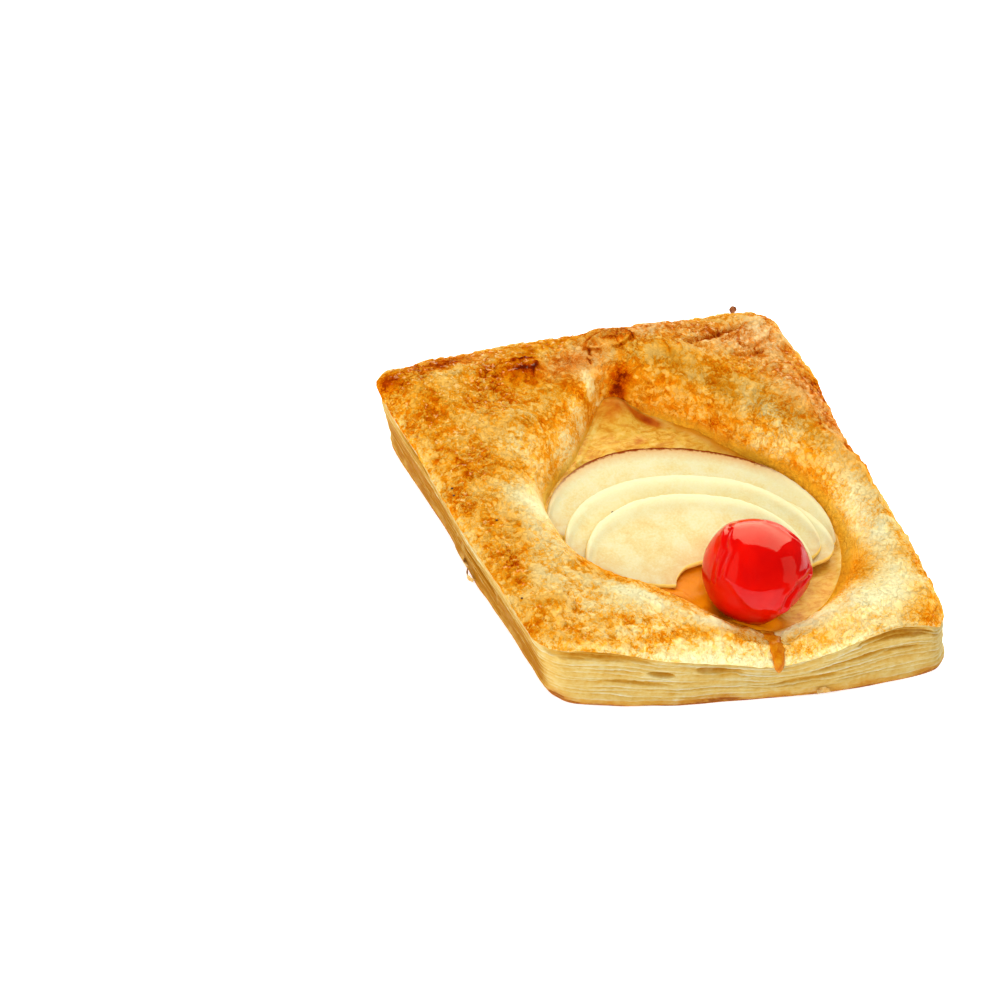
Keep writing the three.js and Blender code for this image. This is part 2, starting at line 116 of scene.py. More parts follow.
# Pleats and a small lobe of the cherry, as directions right, up and towards the viewer
CHERRY_PLEATS = [
    ([(-0.507, 0.815, 0.28), (-0.6, 0.444, 0.665), (-0.824, -0.167, 0.541)], 0.25),
    ([(-0.496, 0.741, 0.453), (-0.55, 0.352, 0.742), (-0.7, -0.074, 0.68)], 0.22),
    ([(0.207, 0.944, 0.256), (0.683, 0.654, 0.326), (0.9, 0.389, 0.15), (0.974, -0.007, 0.226)], 0.3),
    ([(0.974, -0.007, 0.226), (0.737, -0.246, 0.63), (0.552, -0.481, 0.681), (0.42, -0.696, 0.582)], 0.45),
]
CHERRY_LOBE = {"at": (0.494, -0.657, 0.569), "rise": 0.7, "size": 1.5}

# ---------- fineness of the meshes ----------
SPOKES = 880
HIDDEN_RINGS, HIDDEN_STEP = 4, 0.8
WALL_RINGS = 30
WALL_EVENNESS = 0.4
OUTER_RINGS = 70
EDGE_CROWDING = 1.35
SIDE_RINGS = 106

# ---------- camera and light ----------
CAMERA_TURN, CAMERA_LIFT, CAMERA_ROLL = -29.25, 41.0, 11.8  # degrees
CAMERA_DISTANCE = 2.0
PIXELS_PER_METRE = 4450.0
IMAGE_SIZE = 1000
TARGET_PIXEL = (660, 509)
TARGET_HEIGHT = 10.0  # mm
# Softboxes seen from the camera: direction right, up and towards it, distance, width, height
# in metres, radiance, and whether they light matt surfaces or only show as reflections
SOFTBOXES = {
    "key": ((0.14, 0.93, -0.12), 1.3, 1.6, 1.4, 3.44, True),
    "overhead": ((0.0, 0.74, 0.66), 1.3, 1.4, 1.4, 1.45, True),
    "front_fill": ((-0.3, -0.12, 0.9), 1.6, 1.6, 1.2, 4.1, True),
    "right_fill": ((0.9, 0.35, 0.3), 1.5, 1.2, 1.2, 1.38, True),
    "left_fill": ((-0.95, 0.3, 0.2), 1.5, 1.2, 1.2, 1.66, True),
    "back_reflection": ((0.14, 0.95, -0.2), 1.3, 1.55, 1.75, 4.7, False),
    "right_reflection": ((0.86, 0.1, 0.3), 1.3, 0.8, 1.3, 1.1, False),
    "left_reflection": ((-0.93, 0.15, 0.3), 1.3, 0.7, 1.3, 0.7, False),
}
REFLECTION_TINT = (1.0, 0.92, 0.62)
WORLD_GLOW = 0.1
FLOOR_GLOW = 0.55
# How brightly white matt surfaces show in that light: on the crust, the apple, the sides, low in the
# well and on the cherry
LIGHT_LEVEL = 1.56
APPLE_LIGHT = 1.62
SIDE_LIGHT = 1.64
WELL_LIGHT = 1.44
CHERRY_LIGHT = 1.38


# ---------- small helpers ----------
def mix(a, b, t):
    return a + (b - a) * t


def smooth(t):
    t = np.clip(t, 0, 1)
    return t * t * (3 - 2 * t)


def ramp_between(low, high, value):
    return smooth((value - low) / (high - low))


def near(distance, width):
    """1 at no distance, dying out over the width."""
    return np.exp(-(distance / width) ** 2)


def lifted(flat, height=0.0):
    """Places of the plan with a height."""
    return np.concatenate([flat, np.broadcast_to(height, flat.shape[:-1])[..., None]], axis=-1)


def unit(direction):
    return np.array(direction, float) / np.linalg.norm(direction)


def around(table, column, at, period):
    """A column of a table whose first column goes once round a period, on a smooth curve."""
    rows = np.array(table, float)
    count = len(rows)
    place = np.mod(at, period)
    start = np.searchsorted(rows[:, 0], place, side="right") - 1

    def row(step):
        index = start + step
        return rows[index % count, 0] + np.floor(index / count) * period, rows[index % count, column]

    (x0, y0), (x1, y1), (x2, y2), (x3, y3) = (row(step) for step in (-1, 0, 1, 2))
    span = x2 - x1
    t = (place - x1) / span
    leave = (y2 - y0) / (x2 - x0) * span
    arrive = (y3 - y1) / (x3 - x1) * span
    return (y1 * (1 + 2 * t) * (1 - t) ** 2 + leave * t * (1 - t) ** 2
            + y2 * t ** 2 * (3 - 2 * t) + arrive * t ** 2 * (t - 1))


def plain_noise(x, y, seed):
    """The solids' own smooth noise, -1 to 1."""
    def value(i, j):
        wave = np.sin(i * 127.1 + j * 311.7 + seed * 74.7) * 43758.5453
        return wave - np.floor(wave)

    i, j = np.floor(x), np.floor(y)
    u, v = smooth(x - i), smooth(y - j)
    low = mix(value(i, j), value(i + 1, j), u)
    high = mix(value(i, j + 1), value(i + 1, j + 1), u)
    return 2 * mix(low, high, v) - 1


def scramble(i, j, k, seed):
    """A repeatable number from 0 to 1 for each point of a whole-number grid."""
    h = (i.astype(np.int64) * 374761393 + j.astype(np.int64) * 668265263
         + k.astype(np.int64) * 1440662683 + seed * 974711 + 12345) & 0xFFFFFFFF
    h = ((h ^ (h >> 13)) * 1274126177) & 0xFFFFFFFF
    h = ((h ^ (h >> 16)) * 2246822519) & 0xFFFFFFFF
    return ((h ^ (h >> 15)) & 0xFFFFFF) / 0xFFFFFF


def noise(points, size, seed):
    """Gradient noise in space, about -1 to 1. Size is in mm, one number or one for each axis."""
    q = points / np.asarray(size, float)
    cell = np.floor(q)
    f = q - cell
    fade = f ** 3 * (f * (f * 6 - 15) + 10)
    total = 0
    for corner in np.ndindex(2, 2, 2):
        i, j, k = (cell[..., axis] + corner[axis] for axis in range(3))
        turn = scramble(i, j, k, seed) * 2 * np.pi
        tilt = scramble(i, j, k, seed + 57) * 2 - 1
        flat = np.sqrt(1 - tilt ** 2)
        x, y, z = (f[..., axis] - corner[axis] for axis in range(3))
        weight = 1
        for axis in range(3):
            weight = weight * (fade[..., axis] if corner[axis] else 1 - fade[..., axis])
        total = total + (np.cos(turn) * flat * x + np.sin(turn) * flat * y + tilt * z) * weight
    return total * 1.6


def fractal(points, size, seed):
    """Three sizes of noise, each half as large and half as strong as the one before."""
    total = sum(0.5 ** n * noise(points, size / 2 ** n, seed + 11 * n) for n in range(3))
    return total / 1.75 * 1.3


def swirl(points, size, seeds):
    return np.stack([noise(points, size, seed) for seed in seeds], axis=-1)


def nearest(points, size, seed):
    """Distance to the nearest of one scattered point a cell, in cells."""
    q = points / size
    cell = np.floor(q)
    least = np.full(q.shape[:-1], 9.0)
    for step in np.ndindex(3, 3, 3):
        corner = cell + np.array(step) - 1
        i, j, k = corner[..., 0], corner[..., 1], corner[..., 2]
        spot = corner + np.stack([scramble(i, j, k, seed + n) for n in (0, 1, 2)], axis=-1)
        least = np.minimum(least, np.linalg.norm(spot - q, axis=-1))
    return least


def from_middle(x, y, spot):
    """Distance from the middle of an ellipse (x, y, half length, half width, turn): 1 on its edge."""
    cx, cy, length, width, turn = spot
    c, s = math.cos(math.radians(turn)), math.sin(math.radians(turn))
    return np.hypot(((x - cx) * c + (y - cy) * s) / length, ((y - cy) * c - (x - cx) * s) / width)


def blob(x, y, spot, gain=1):
    """1 in the middle of an ellipse, 0 at its edge and beyond. A gain above 1 widens the middle."""
    return np.minimum(gain * smooth(1 - from_middle(x, y, spot)), 1)


def sum_blobs(x, y, table):
    return sum(amount * blob(x, y, spot) for spot, amount in table)


# ---------- outline and heights ----------
def outline(corners, place):
    """Points of a bowed, round-cornered square at places from 0 to 4 round it."""
    corner = np.array(corners, float)
    place = np.mod(place, 4)
    side = np.floor(place).astype(int) % 4
    share = (place - np.floor(place))[:, None]
    start, end = corner[side], corner[(side + 1) % 4]
    along = end - start
    outward = np.stack([along[:, 1], -along[:, 0]], axis=1)
    outward /= np.linalg.norm(outward, axis=1, keepdims=True)
    bow = np.array(EDGE_BOW, float)[side][:, None] * 4 * share * (1 - share)
    clear = smooth(share / SWELL_FADE) * smooth((1 - share) / SWELL_FADE)
    swell = around(EDGE_SWELL, 1, place, 4)[:, None] * clear
    point = start + along * share + outward * (bow + swell)
    near_start = share < 0.5
    tip = np.where(near_start, start, end)
    other = np.where(near_start, corner[(side + 3) % 4], corner[(side + 2) % 4])
    mate = np.where(near_start, end, start)
    away = np.minimum(1, np.linalg.norm(point - tip, axis=1, keepdims=True) / CORNER_RADIUS)
    turned = (1 - away) / 2

    def arm(goal):
        step = goal - tip
        return step / np.linalg.norm(step, axis=1, keepdims=True) * CORNER_RADIUS

    curve = tip + arm(mate) * (1 - turned) ** 2 + arm(other) * turned ** 2
    straight = tip + arm(mate) * away
    return np.where(away < 1, point + curve - straight, point)


def blister_height(x, y):
    return sum(rise * smooth(BLISTER_REACH - from_middle(x, y, spot)) for spot, rise in BLISTERS)


def crag_height(x, y):
    broad = plain_noise(x / CRAG_SIZE, y / CRAG_SIZE, 3)
    fine = plain_noise(x / FINE_CRAG_SIZE, y / FINE_CRAG_SIZE, 8)
    return CRAG_HEIGHT * mix(broad, fine, FINE_CRAG_SHARE)


def section(angle):
    """Well radius, crest radius, crest height and ease at angles round the well."""
    return [around(RIM, column, angle, 360) for column in (1, 2, 3, 4)]


def eased_climb(distance, whole, ease):
    share = np.clip(distance / whole, 0, 1)
    return (1 - np.exp(-share * whole / ease)) / (1 - np.exp(-whole / ease))


def spoke_frame():
    """For each spoke its place round the square, edge, way out, reach, section and edge height."""
    place = np.arange(SPOKES) / SPOKES * 4
    edge = outline(CRUST_CORNERS, place)
    out = edge - WELL_MIDDLE
    reach = np.linalg.norm(out, axis=1)
    out = out / reach[:, None]
    angle = np.degrees(np.arctan2(out[:, 1], out[:, 0]))
    return place, edge, lifted(out), reach, section(angle), around(CRUST_EDGE, 1, place, 4)


def top_height(rim, radius, reach, edge_height):
    well, crest, height, ease = rim
    floor = mix(FILLING_LEVEL, FLOOR_HEIGHT, np.clip((well - radius) / FLOOR_INSET, 0, 1))
    wall = mix(FILLING_LEVEL, height, eased_climb(radius - well, crest - well, ease))
    slope = mix(edge_height, height, eased_climb(reach - radius, reach - crest, CRUST_ROLL))
    return np.where(radius < well, floor, np.where(radius < crest, wall, slope))


# ---------- meshes ----------
def make_piece(name, points, faces, material, attributes=None, nodes=()):
    """A smooth mesh piece from points in the plan's millimetres. Faces are rows of 3 or 4 indices."""
    mesh = bpy.data.meshes.new(name)
    mesh.vertices.add(len(points))
    mesh.vertices.foreach_set("co", ((points - PLAN_MIDDLE) / 1000).astype(np.float32).ravel())
    sizes = np.concatenate([np.full(len(f), f.shape[1]) for f in faces])
    loops = np.concatenate([f.ravel() for f in faces])
    mesh.loops.add(len(loops))
    mesh.loops.foreach_set("vertex_index", loops.astype(np.int32))
    mesh.polygons.add(len(sizes))
    mesh.polygons.foreach_set("loop_start", np.concatenate([[0], np.cumsum(sizes)[:-1]]).astype(np.int32))
    mesh.update(calc_edges=True)
    mesh.validate()
    mesh.polygons.foreach_set("use_smooth", np.ones(len(sizes), bool))
    for key, values in (attributes or {}).items():
        layer = mesh.attributes.new(key, "FLOAT", "POINT")
        layer.data.foreach_set("value", np.asarray(values, np.float32).ravel())
    mesh.materials.append(material)
    piece = bpy.data.objects.new(name, mesh)
    bpy.context.scene.collection.objects.link(piece)
    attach(piece, "root")
    if nodes:
        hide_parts(*nodes)
    return piece


def ring_mesh(grid, first, last):
    """Points and faces of closed rings of points, with an end point before and after them."""
    rings, columns = grid.shape[:2]
    r, c = np.meshgrid(np.arange(rings - 1), np.arange(columns), indexing="ij")
    here, there = r * columns + c, r * columns + (c + 1) % columns
    walls = np.stack([here, here + columns, there + columns, there], axis=-1).reshape(-1, 4)
    ring = np.arange(columns)
    following = (ring + 1) % columns
    end = (rings - 1) * columns
    start_cap = np.stack([np.full(columns, rings * columns), ring, following], axis=1)
    end_cap = np.stack([end + ring, np.full(columns, rings * columns + 1), end + following], axis=1)
    return np.concatenate([grid.reshape(-1, 3), [first, last]]), [walls, start_cap, end_cap]


def over_rings(values, ends=(0, 0), before=0, after=0):
    """Values for a ring mesh: those of the outer rings repeated for rings beyond them, and the ends'."""
    return np.concatenate([np.tile(values[0], before), values.ravel(), np.tile(values[-1], after), ends])


def grid_normals(grid):
    """Outward normals of a grid of rings (first axis) and columns (second axis, closed)."""
    along = np.roll(grid, -1, axis=1) - np.roll(grid, 1, axis=1)
    across = np.gradient(grid, axis=0)
    normal = np.cross(across, along)
    return normal / np.maximum(np.linalg.norm(normal, axis=2, keepdims=True), 1e-9)


def well_ring(out, radius, height):
    """A level ring of points round the well."""
    ring = well_point(0) + out * np.reshape(radius, (-1, 1))
    ring[:, 2] = height
    return ring


def well_point(height):
    return np.append(WELL_MIDDLE, height)


# ---------- crust ----------
# Browning of the crust over its middle tone: (x, y, half length, half width, turn), amount
BROWNING = [
    ((-52, 41.5, 6, 5, 0), 0.2), ((-46, 31, 8, 12, 10), 0.14), ((-38, 44, 18, 5, 8), 0.22),
    ((-24, 35, 14, 8, 15), 0.2), ((-22, 36.4, 5, 2.6, 20), 0.22), ((-30, 38.5, 5, 2, 30), 0.12),
    ((-12.5, 29, 5, 5, 0), 0.2), ((1.2, 40.8, 5.6, 2.1, 5), 0.2), ((-3, 45, 24, 4, 2), 0.16),
    ((13, 35, 3, 6, 20), 0.12), ((22, 36, 14, 5, -20), -0.06), ((8, 41, 24, 7, 0), -0.05),
    ((45, 18, 5, 22, 8), 0.14), ((46, -6, 4, 14, 6), 0.1), ((-47, 10, 5, 11, 10), 0.06),
    ((-47, -6, 4, 9, 5), 0.1), ((-46, -22, 5, 10, 5), 0.12), ((-41, -34, 9, 7, 20), 0.06),
    ((-27, -42.5, 13, 3, -10), 0.12), ((-12, -47, 13, 3.2, -10), 0.14), ((-3, -49.5, 6, 2.4, -10), 0.14),
    ((0.8, 31, 4, 4.8, 0), 0.42), ((-34, -3, 10, 13, 10), -0.58), ((-27, 3, 6, 14, -12), -0.32),
    ((-34, -15, 9, 9, 0), -0.26), ((-22, -34, 17, 5, -32), -0.36), ((-6, -45, 10, 4, -15), -0.3),
    ((14, -46, 18, 5, 6), -0.3), ((34, -45, 19, 12, 10), -0.56), ((40, -26, 9, 24, 0), -0.44),
    ((40, -8, 6, 14, -5), -0.14), ((-31, 14, 9, 8, 0), -0.14), ((17, 26, 20, 8, -40), 0.01),
    ((27, 13, 10, 8, -40), -0.08), ((35, -18, 6, 18, 5), 0.16), ((-7, 31, 3.5, 7, 30), -0.26),
    ((-17, 17, 6, 11, -40), -0.34), ((-12, 25, 4, 8, 30), -0.12), ((31, 12, 6, 14, 25), -0.18),
    ((-26, -38, 18, 8, -28), -0.11), ((-28, -46, 14, 2.5, -4), -0.12), ((0, -50, 50, 5, 3), -0.1),
    ((37, 39, 10, 8, 0), -0.14), ((5, 27.6, 6, 1.6, -31), 0.26), ((-12, 25, 4, 7, 30), -0.14),
    ((-20, -40, 30, 12, -15), -0.24), ((-38, -26, 10, 12, 0), -0.2), ((16, -49, 16, 5, 4), -0.16),
]
TAN_FLAKES = [
    ((-8, 37, 14, 8, 10), 0.9), ((-34, 44, 18, 5, 6), 0.5), ((12, 44, 22, 6, 0), 0.75),
    ((38, 36, 14, 14, 0), 0.8), ((44, 10, 6, 26, 8), 0.8), ((26, 38, 14, 8, 0), 0.6),
    ((38, 20, 8, 14, 10), 0.5),
]
SMOOTH_PLACES = [
    ((-33, -2, 10, 14, 10), 0.9), ((-27, 3, 5, 12, -12), 0.5), ((20, -50, 18, 7, 8), 0.5),
    ((40, -47, 12, 10, 0), 0.5), ((36, -36, 14, 24, 8), 0.8), ((-20, -38, 22, 8, -20), 0.45),
    ((-52, 42, 5, 5, 0), 0.8), ((-8.5, 36, 7, 4, 30), 0.8), ((-20, 37, 7, 4, 10), 0.5),
]
# Rings round two blisters: ellipse, bend, half width, height, browning
RINGS = [
    ((1.2, 40.8, 5.2, 2.0, 5), 0, 0.35, 0.55, 0), ((1.2, 40.8, 5.9, 2.5, 5), 0, 0.3, 0, 0.3),
    ((36.3, 37.6, 3.8, 2.5, 15), 0.7, 0.35, 0.45, 0), ((36.3, 37.6, 4.3, 3.0, 15), 0.7, 0.3, 0, 0.14),
]
# Folds and wrinkles: points in the plan, half width, height, browning on the line
STROKES = [
    ([(38.6, 25.3), (39.6, 18), (40.3, 11.9), (41.2, 5), (42.5, -2.8)], 0.35, 0.5, 0.12),
    ([(41, 30), (42, 22), (42.6, 14)], 0.3, 0.4, 0.2),
    ([(44.5, 4), (45, -4), (45.6, -12)], 0.35, 0.4, 0.2),
    ([(13, 39), (13.6, 35), (13, 31.5)], 0.35, 0.5, 0.16),
    ([(15.5, 40), (16.5, 36), (15.8, 33)], 0.3, 0.4, 0.16),
    ([(17, 36.5), (23, 38), (30, 40), (36, 42)], 0.6, -0.8, 0.2),
    ([(28, 33), (33, 32), (38, 33.5)], 0.6, -0.6, 0.18),
    ([(-3.5, 39.5), (-5, 37), (-5.5, 34.5)], 0.3, -0.5, 0.5),
    ([(-24, 16), (-25.2, 20.5), (-28.5, 23.5), (-32, 23.8)], 0.4, 0.6, -0.14),
    ([(-25.6, 14.8), (-27, 19), (-29.5, 21.6), (-32.5, 21.8)], 0.35, 0.5, -0.12),
    ([(-33, 19), (-31, 15), (-30, 12)], 0.35, 0.4, 0.1),
    ([(-24.5, 38.4), (-20.9, 40), (-17.3, 41.1), (-16.6, 39.1)], 0.55, 0.5, 0.4),
    ([(-17, 39), (-19, 36.6), (-20.3, 34)], 0.5, 0.5, 0.4),
    ([(-23.9, 35.6), (-22, 36.8), (-20.1, 37)], 0.4, -0.4, 0.22),
    ([(-30.8, 40.5), (-26.3, 43), (-24.6, 40.3)], 0.45, 0.4, 0.2),
    ([(-30.1, 38.1), (-29.4, 36.5), (-27.5, 35.2)], 0.4, -0.3, 0.16),
    ([(-48, 20), (-46, 12), (-45.5, 3)], 0.7, 0.4, 0.12),
]
# Places that get less or more light than their slope says: ellipse, gain, change
SHELTER = [
    ((5, -48, 75, 26, 0), 1, -0.14), ((1, -42, 17, 8, -12), 1, -0.35), ((20, 19, 32, 13.5, -38), 1.6, 0.26),
]
OCHRE_WALL = (34.5, -18, 5, 18, 5)
LEFT_WALL = (-17, 22, 18, 22, 0)
FRONT_LIP = (0, -54, 60, 16, 0)
MIDDLE_BROWNING = 0.52
# Steps by which the edge of the crust turns down and under: drop and way inwards
EDGE_TURN = ((0.25, -0.1), (0.5, -0.06), (0.7, 0.3), (0.8, 1.4), (0.9, 4))


def near_line(x, y, line):
    """Distance to a line of points, and the share of the way along it."""
    best = np.full(x.shape, 1e9)
    way = np.zeros(x.shape)
    for k, ((ax, ay), (bx, by)) in enumerate(zip(line, line[1:])):
        dx, dy = bx - ax, by - ay
        t = np.clip(((x - ax) * dx + (y - ay) * dy) / (dx * dx + dy * dy), 0, 1)
        away = np.hypot(x - ax - t * dx, y - ay - t * dy)
        way = np.where(away < best, (k + t) / (len(line) - 1), way)
        best = np.minimum(best, away)
    return best, way


def light_on(normal):
    """The light that matt surfaces with these normals get from the softboxes and the studio."""
    total = np.full(normal.shape[:-1], WORLD_GLOW)
    for direction, distance, width, height, radiance, lights_matt in SOFTBOXES.values():
        if lights_matt:
            seen = width * height / (distance ** 2 * math.pi + width * height)
            total = total + radiance * seen * np.clip(normal @ unit(direction @ np.array(view_axes())), 0, 1)
    return total


def light_boost(x, y, normal, inside, on_wall):
    """How much paler the crust is made so that it shows its true colour in less light."""
    shelter = np.where(inside, mix(0.85, 1.05, on_wall), 1)
    for spot, gain, change in SHELTER:
        shelter = shelter * (1 + change * blob(x, y, spot, gain))
    return np.clip(1.14 * LIGHT_LEVEL / (light_on(normal) * shelter), 0.85, 1.55)


def crust_radii(rim, reach):
    """Radii of the rings of the crust: a few under the filling, then up the wall and out to the edge."""
    well, crest, _, ease = rim
    whole = crest - well
    radii = [well + HIDDEN_STEP * (k - HIDDEN_RINGS) for k in range(HIDDEN_RINGS)]
    for k in range(WALL_RINGS):
        share = k / WALL_RINGS
        level = -ease * np.log(1 - share * (1 - np.exp(-whole / ease)))
        radii.append(well + mix(level, share * whole, WALL_EVENNESS))
    for k in range(OUTER_RINGS + 1):
        radii.append(mix(reach, crest, (1 - k / OUTER_RINGS) ** EDGE_CROWDING))
    return np.array(radii)


def edge_beads(edge, out):
    """Small lumps and dents of the crust's edge, largest at the back right."""
    beads = np.abs(noise(lifted(edge), 3.4, 38)) - 0.25 + 0.5 * noise(lifted(edge), 1.5, 39)
    return beads * (0.8 + 0.5 * np.cos(np.arctan2(out[:, 1], out[:, 0]) - math.radians(40)))


def skin_detail(top, warp, grainy):
    """Thin flaked sheets, fine crinkles, grains and small bubbles."""
    bent = top + warp * 1.1
    plates = ramp_between(0.02, 0.08, fractal(bent, 6.5, 41) + 0.2 * noise(bent, 1.3, 42))
    scales = ramp_between(0.05, 0.12, fractal(bent, 3.4, 44))
    crinkle = np.clip(1 - np.abs(noise(bent, 2.1, 45)) * 3, -0.4, 1)
    grain = np.clip(1 - nearest(top + warp * 0.5, 1.9, 47) * 1.3, 0, 1) ** 0.6
    bubble = np.clip(1 - nearest(top + warp * 0.8, 3.6, 49) * 1.5, 0, 1) ** 0.6
    return 0.25 * plates + 0.16 * scales + 0.13 * crinkle + (0.2 * grain + 0.24 * bubble) * grainy


def drawn_marks(x, y, warp):
    """Height and browning of the rings, folds and wrinkles."""
    height, browning = 0, 0
    for spot, bend, half_width, rise, browned in RINGS:
        away = from_middle(x + bend * warp[..., 0], y + bend * warp[..., 1], spot) - 1
        ring = near(away * min(spot[2:4]), half_width)
        height, browning = height + rise * ring, browning + browned * ring
    for line, half_width, rise, browned in STROKES:
        away, way = near_line(x + 0.5 * warp[..., 0], y + 0.5 * warp[..., 1], line)
        mark = near(away, half_width) * smooth(4 * way + 0.1) * smooth(4 * (1 - way) + 0.1)
        height, browning = height + rise * mark, browning + browned * mark
    return height, browning


def turned_under(last, out, well):
    """Rings that turn the edge down and under and close the skin inside the layers."""
    wavy = 0.3 * noise(last, 3, 51)
    rings = []
    for drop, inward in EDGE_TURN:
        ring = last - out * inward
        ring[:, 2] = last[:, 2] - drop * (1 + wavy)
        rings.append(ring)
    return np.array(rings + [well_ring(out, well + 3, 7.5), well_ring(out, well - 3, 4.2)])


def crust():
    _, edge, out, reach, rim, edge_height = spoke_frame()
    well, crest, crest_height, _ = rim
    radius = crust_radii(rim, reach)
    inside = radius < crest
    from_edge = reach - radius
    spread = radius + 0.6 * edge_beads(edge, out) * smooth(1 - from_edge / 3.5)
    at = well_point(0) + out * spread[..., None]
    x, y = at[..., 0], at[..., 1]
    on_wall = smooth((radius - well) / (crest - well))
    z = top_height(rim, radius, reach, edge_height)
    z = z + (blister_height(x, y) + crag_height(x, y)) * on_wall * smooth(from_edge / CRUST_ROLL + 0.25)
    top = np.stack([x, y, z], axis=-1)
    normal = grid_normals(top)

    # The skin is calmer where it is smooth or low on the wall
    warp = swirl(top, 2.6, (31, 32, 33))
    tan = np.minimum(sum_blobs(x, y, TAN_FLAKES), 1)
    calm = np.minimum(sum_blobs(x, y, SMOOTH_PLACES), 1)
    grainy = ramp_between(-0.3, 0.3, noise(top, 12, 48) + 0.15) * (1 - 0.7 * tan)
    climb = np.minimum(4.2, 0.55 * (crest_height - FILLING_LEVEL))
    low = 1 - smooth((z - FILLING_LEVEL - 0.5) / climb)
    foot = np.maximum(low, 0.8 * blob(x, y, OCHRE_WALL, 1.6)) * inside
    left_wall = np.minimum(2 * blob(x, y, LEFT_WALL) * (1 - on_wall), 0.8)
    rough = (1 - 0.75 * calm) * (1 - 0.9 * foot) * (1 - 0.35 * (1 - on_wall)) * (1 - left_wall)
    rough = rough * smooth(from_edge / 0.8 + 0.35)
    detail = skin_detail(top, warp, grainy)
    marks, drawn = drawn_marks(x, y, warp)
    top = top + normal * ((detail - 0.25) * rough + marks * on_wall)[..., None]

    bake = MIDDLE_BROWNING + sum_blobs(x, y, BROWNING) + drawn
    bake = bake + 0.05 * fractal(top, 9, 61) + 0.05 * noise(top, 3.6, 62)
    front = blob(x, y, FRONT_LIP)
    bake = bake - (0.08 + 0.25 * front) * near(from_edge, 0.9) - 0.18 * front * near(from_edge - 2, 2)
    fields = {
        "bake": bake,
        "lift": np.clip((0.3 + detail) * rough + 0.3 * (1 - rough), 0, 1.2),
        "foot": foot,
        "tan": tan,
        "grainy": grainy * (1 - 0.6 * calm) * (1 - foot),
        "calm": calm,
        "boost": light_boost(x, y, normal, inside, on_wall),
        "shine": smooth((radius - crest) / 6 - 0.4) * (1 - 0.6 * calm),
    }
    under = turned_under(top[-1], out, well)
    attributes = {name: over_rings(values, after=len(under)) for name, values in fields.items()}
    points, faces = ring_mesh(np.concatenate([top, under]), well_point(4.4), well_point(4.1))
    return make_piece("crust", points, faces, crust_material(), attributes, ["pastry"])


# ---------- layered sides ----------
# Sheets of the sides: share of the height, waviness in mm, strength
SHEETS = [
    (0.975, 0.25, 0.8), (0.90, 0.5, 0.9), (0.82, 0.7, 1.0), (0.74, 0.6, 0.7), (0.665, 0.7, 1.0),
    (0.59, 0.6, 0.8), (0.52, 0.6, 1.0), (0.445, 0.6, 0.8), (0.37, 0.6, 1.0), (0.30, 0.5, 0.8),
    (0.225, 0.5, 0.9), (0.14, 0.4, 0.9), (0.06, 0.3, 0.7),
]
SHEET_HALF = 0.2
SHEET_FALL = 0.25
# Hollows in the side: place, share of the height, half length in mm, half height in mm, depth
HOLLOWS = [
    (2.12, 0.89, 13, 1.7, 1.1), (2.27, 0.66, 3.4, 0.9, 1.3), (2.42, 0.78, 6, 1.3, 1.2),
    (2.2, 0.45, 9, 0.8, 0.7), (2.86, 0.86, 10, 1.6, 1.3), (2.78, 0.6, 14, 0.9, 0.8),
    (2.62, 0.42, 9, 0.8, 0.7), (3.3, 0.7, 9, 1.2, 1.2), (3.6, 0.5, 7, 0.9, 1.1), (0.3, 0.75, 9, 1.3, 1.2),
    (0.7, 0.45, 8, 0.9, 1.1), (1.25, 0.8, 10, 1.1, 1.1), (1.6, 0.5, 12, 0.8, 0.9),
]


def sheet_edges(edge, top_z, z):
    """Thin sheets stand out as wavy ridges; below each the side is set back and comes out again."""
    ridge, recess = np.zeros(z.shape), np.zeros(z.shape)
    for number, (height, wave, strength) in enumerate(SHEETS):
        track = lifted(edge, number * 31.7)
        bends = 0.9 * noise(track, 19, 71) + 0.5 * noise(track, 7, 72) + 0.16 * noise(track, 2.2, 73)
        power = np.clip(0.62 + 0.75 * noise(track, 12, 74) + 0.3 * noise(track, 3.5, 75), 0.05, 1)
        below = height * top_z + wave * bends - z
        fall = np.clip(below / SHEET_FALL, 0, 1) * np.exp(-np.clip(below - SHEET_FALL, 0, None))
        ridge = np.maximum(ridge, strength * power * near(below, SHEET_HALF))
        recess = np.maximum(recess, strength * power * fall)
    return ridge, recess


def side_hollows(place, share, top_z, where):
    hollow = np.zeros(share.shape)
    bend = noise(where, [9, 9, 30], 70)
    for spot, height, half_length, half_height, deep in HOLLOWS:
        u = (np.mod(place - spot + 2, 4) - 2) * SIDE_LENGTH / half_length
        v = ((share - height) * top_z + 0.5 * bend) / half_height
        hollow = np.maximum(hollow, deep * np.clip(1 - u ** 2 - v ** 2, 0, 1) ** 0.5)
    return hollow


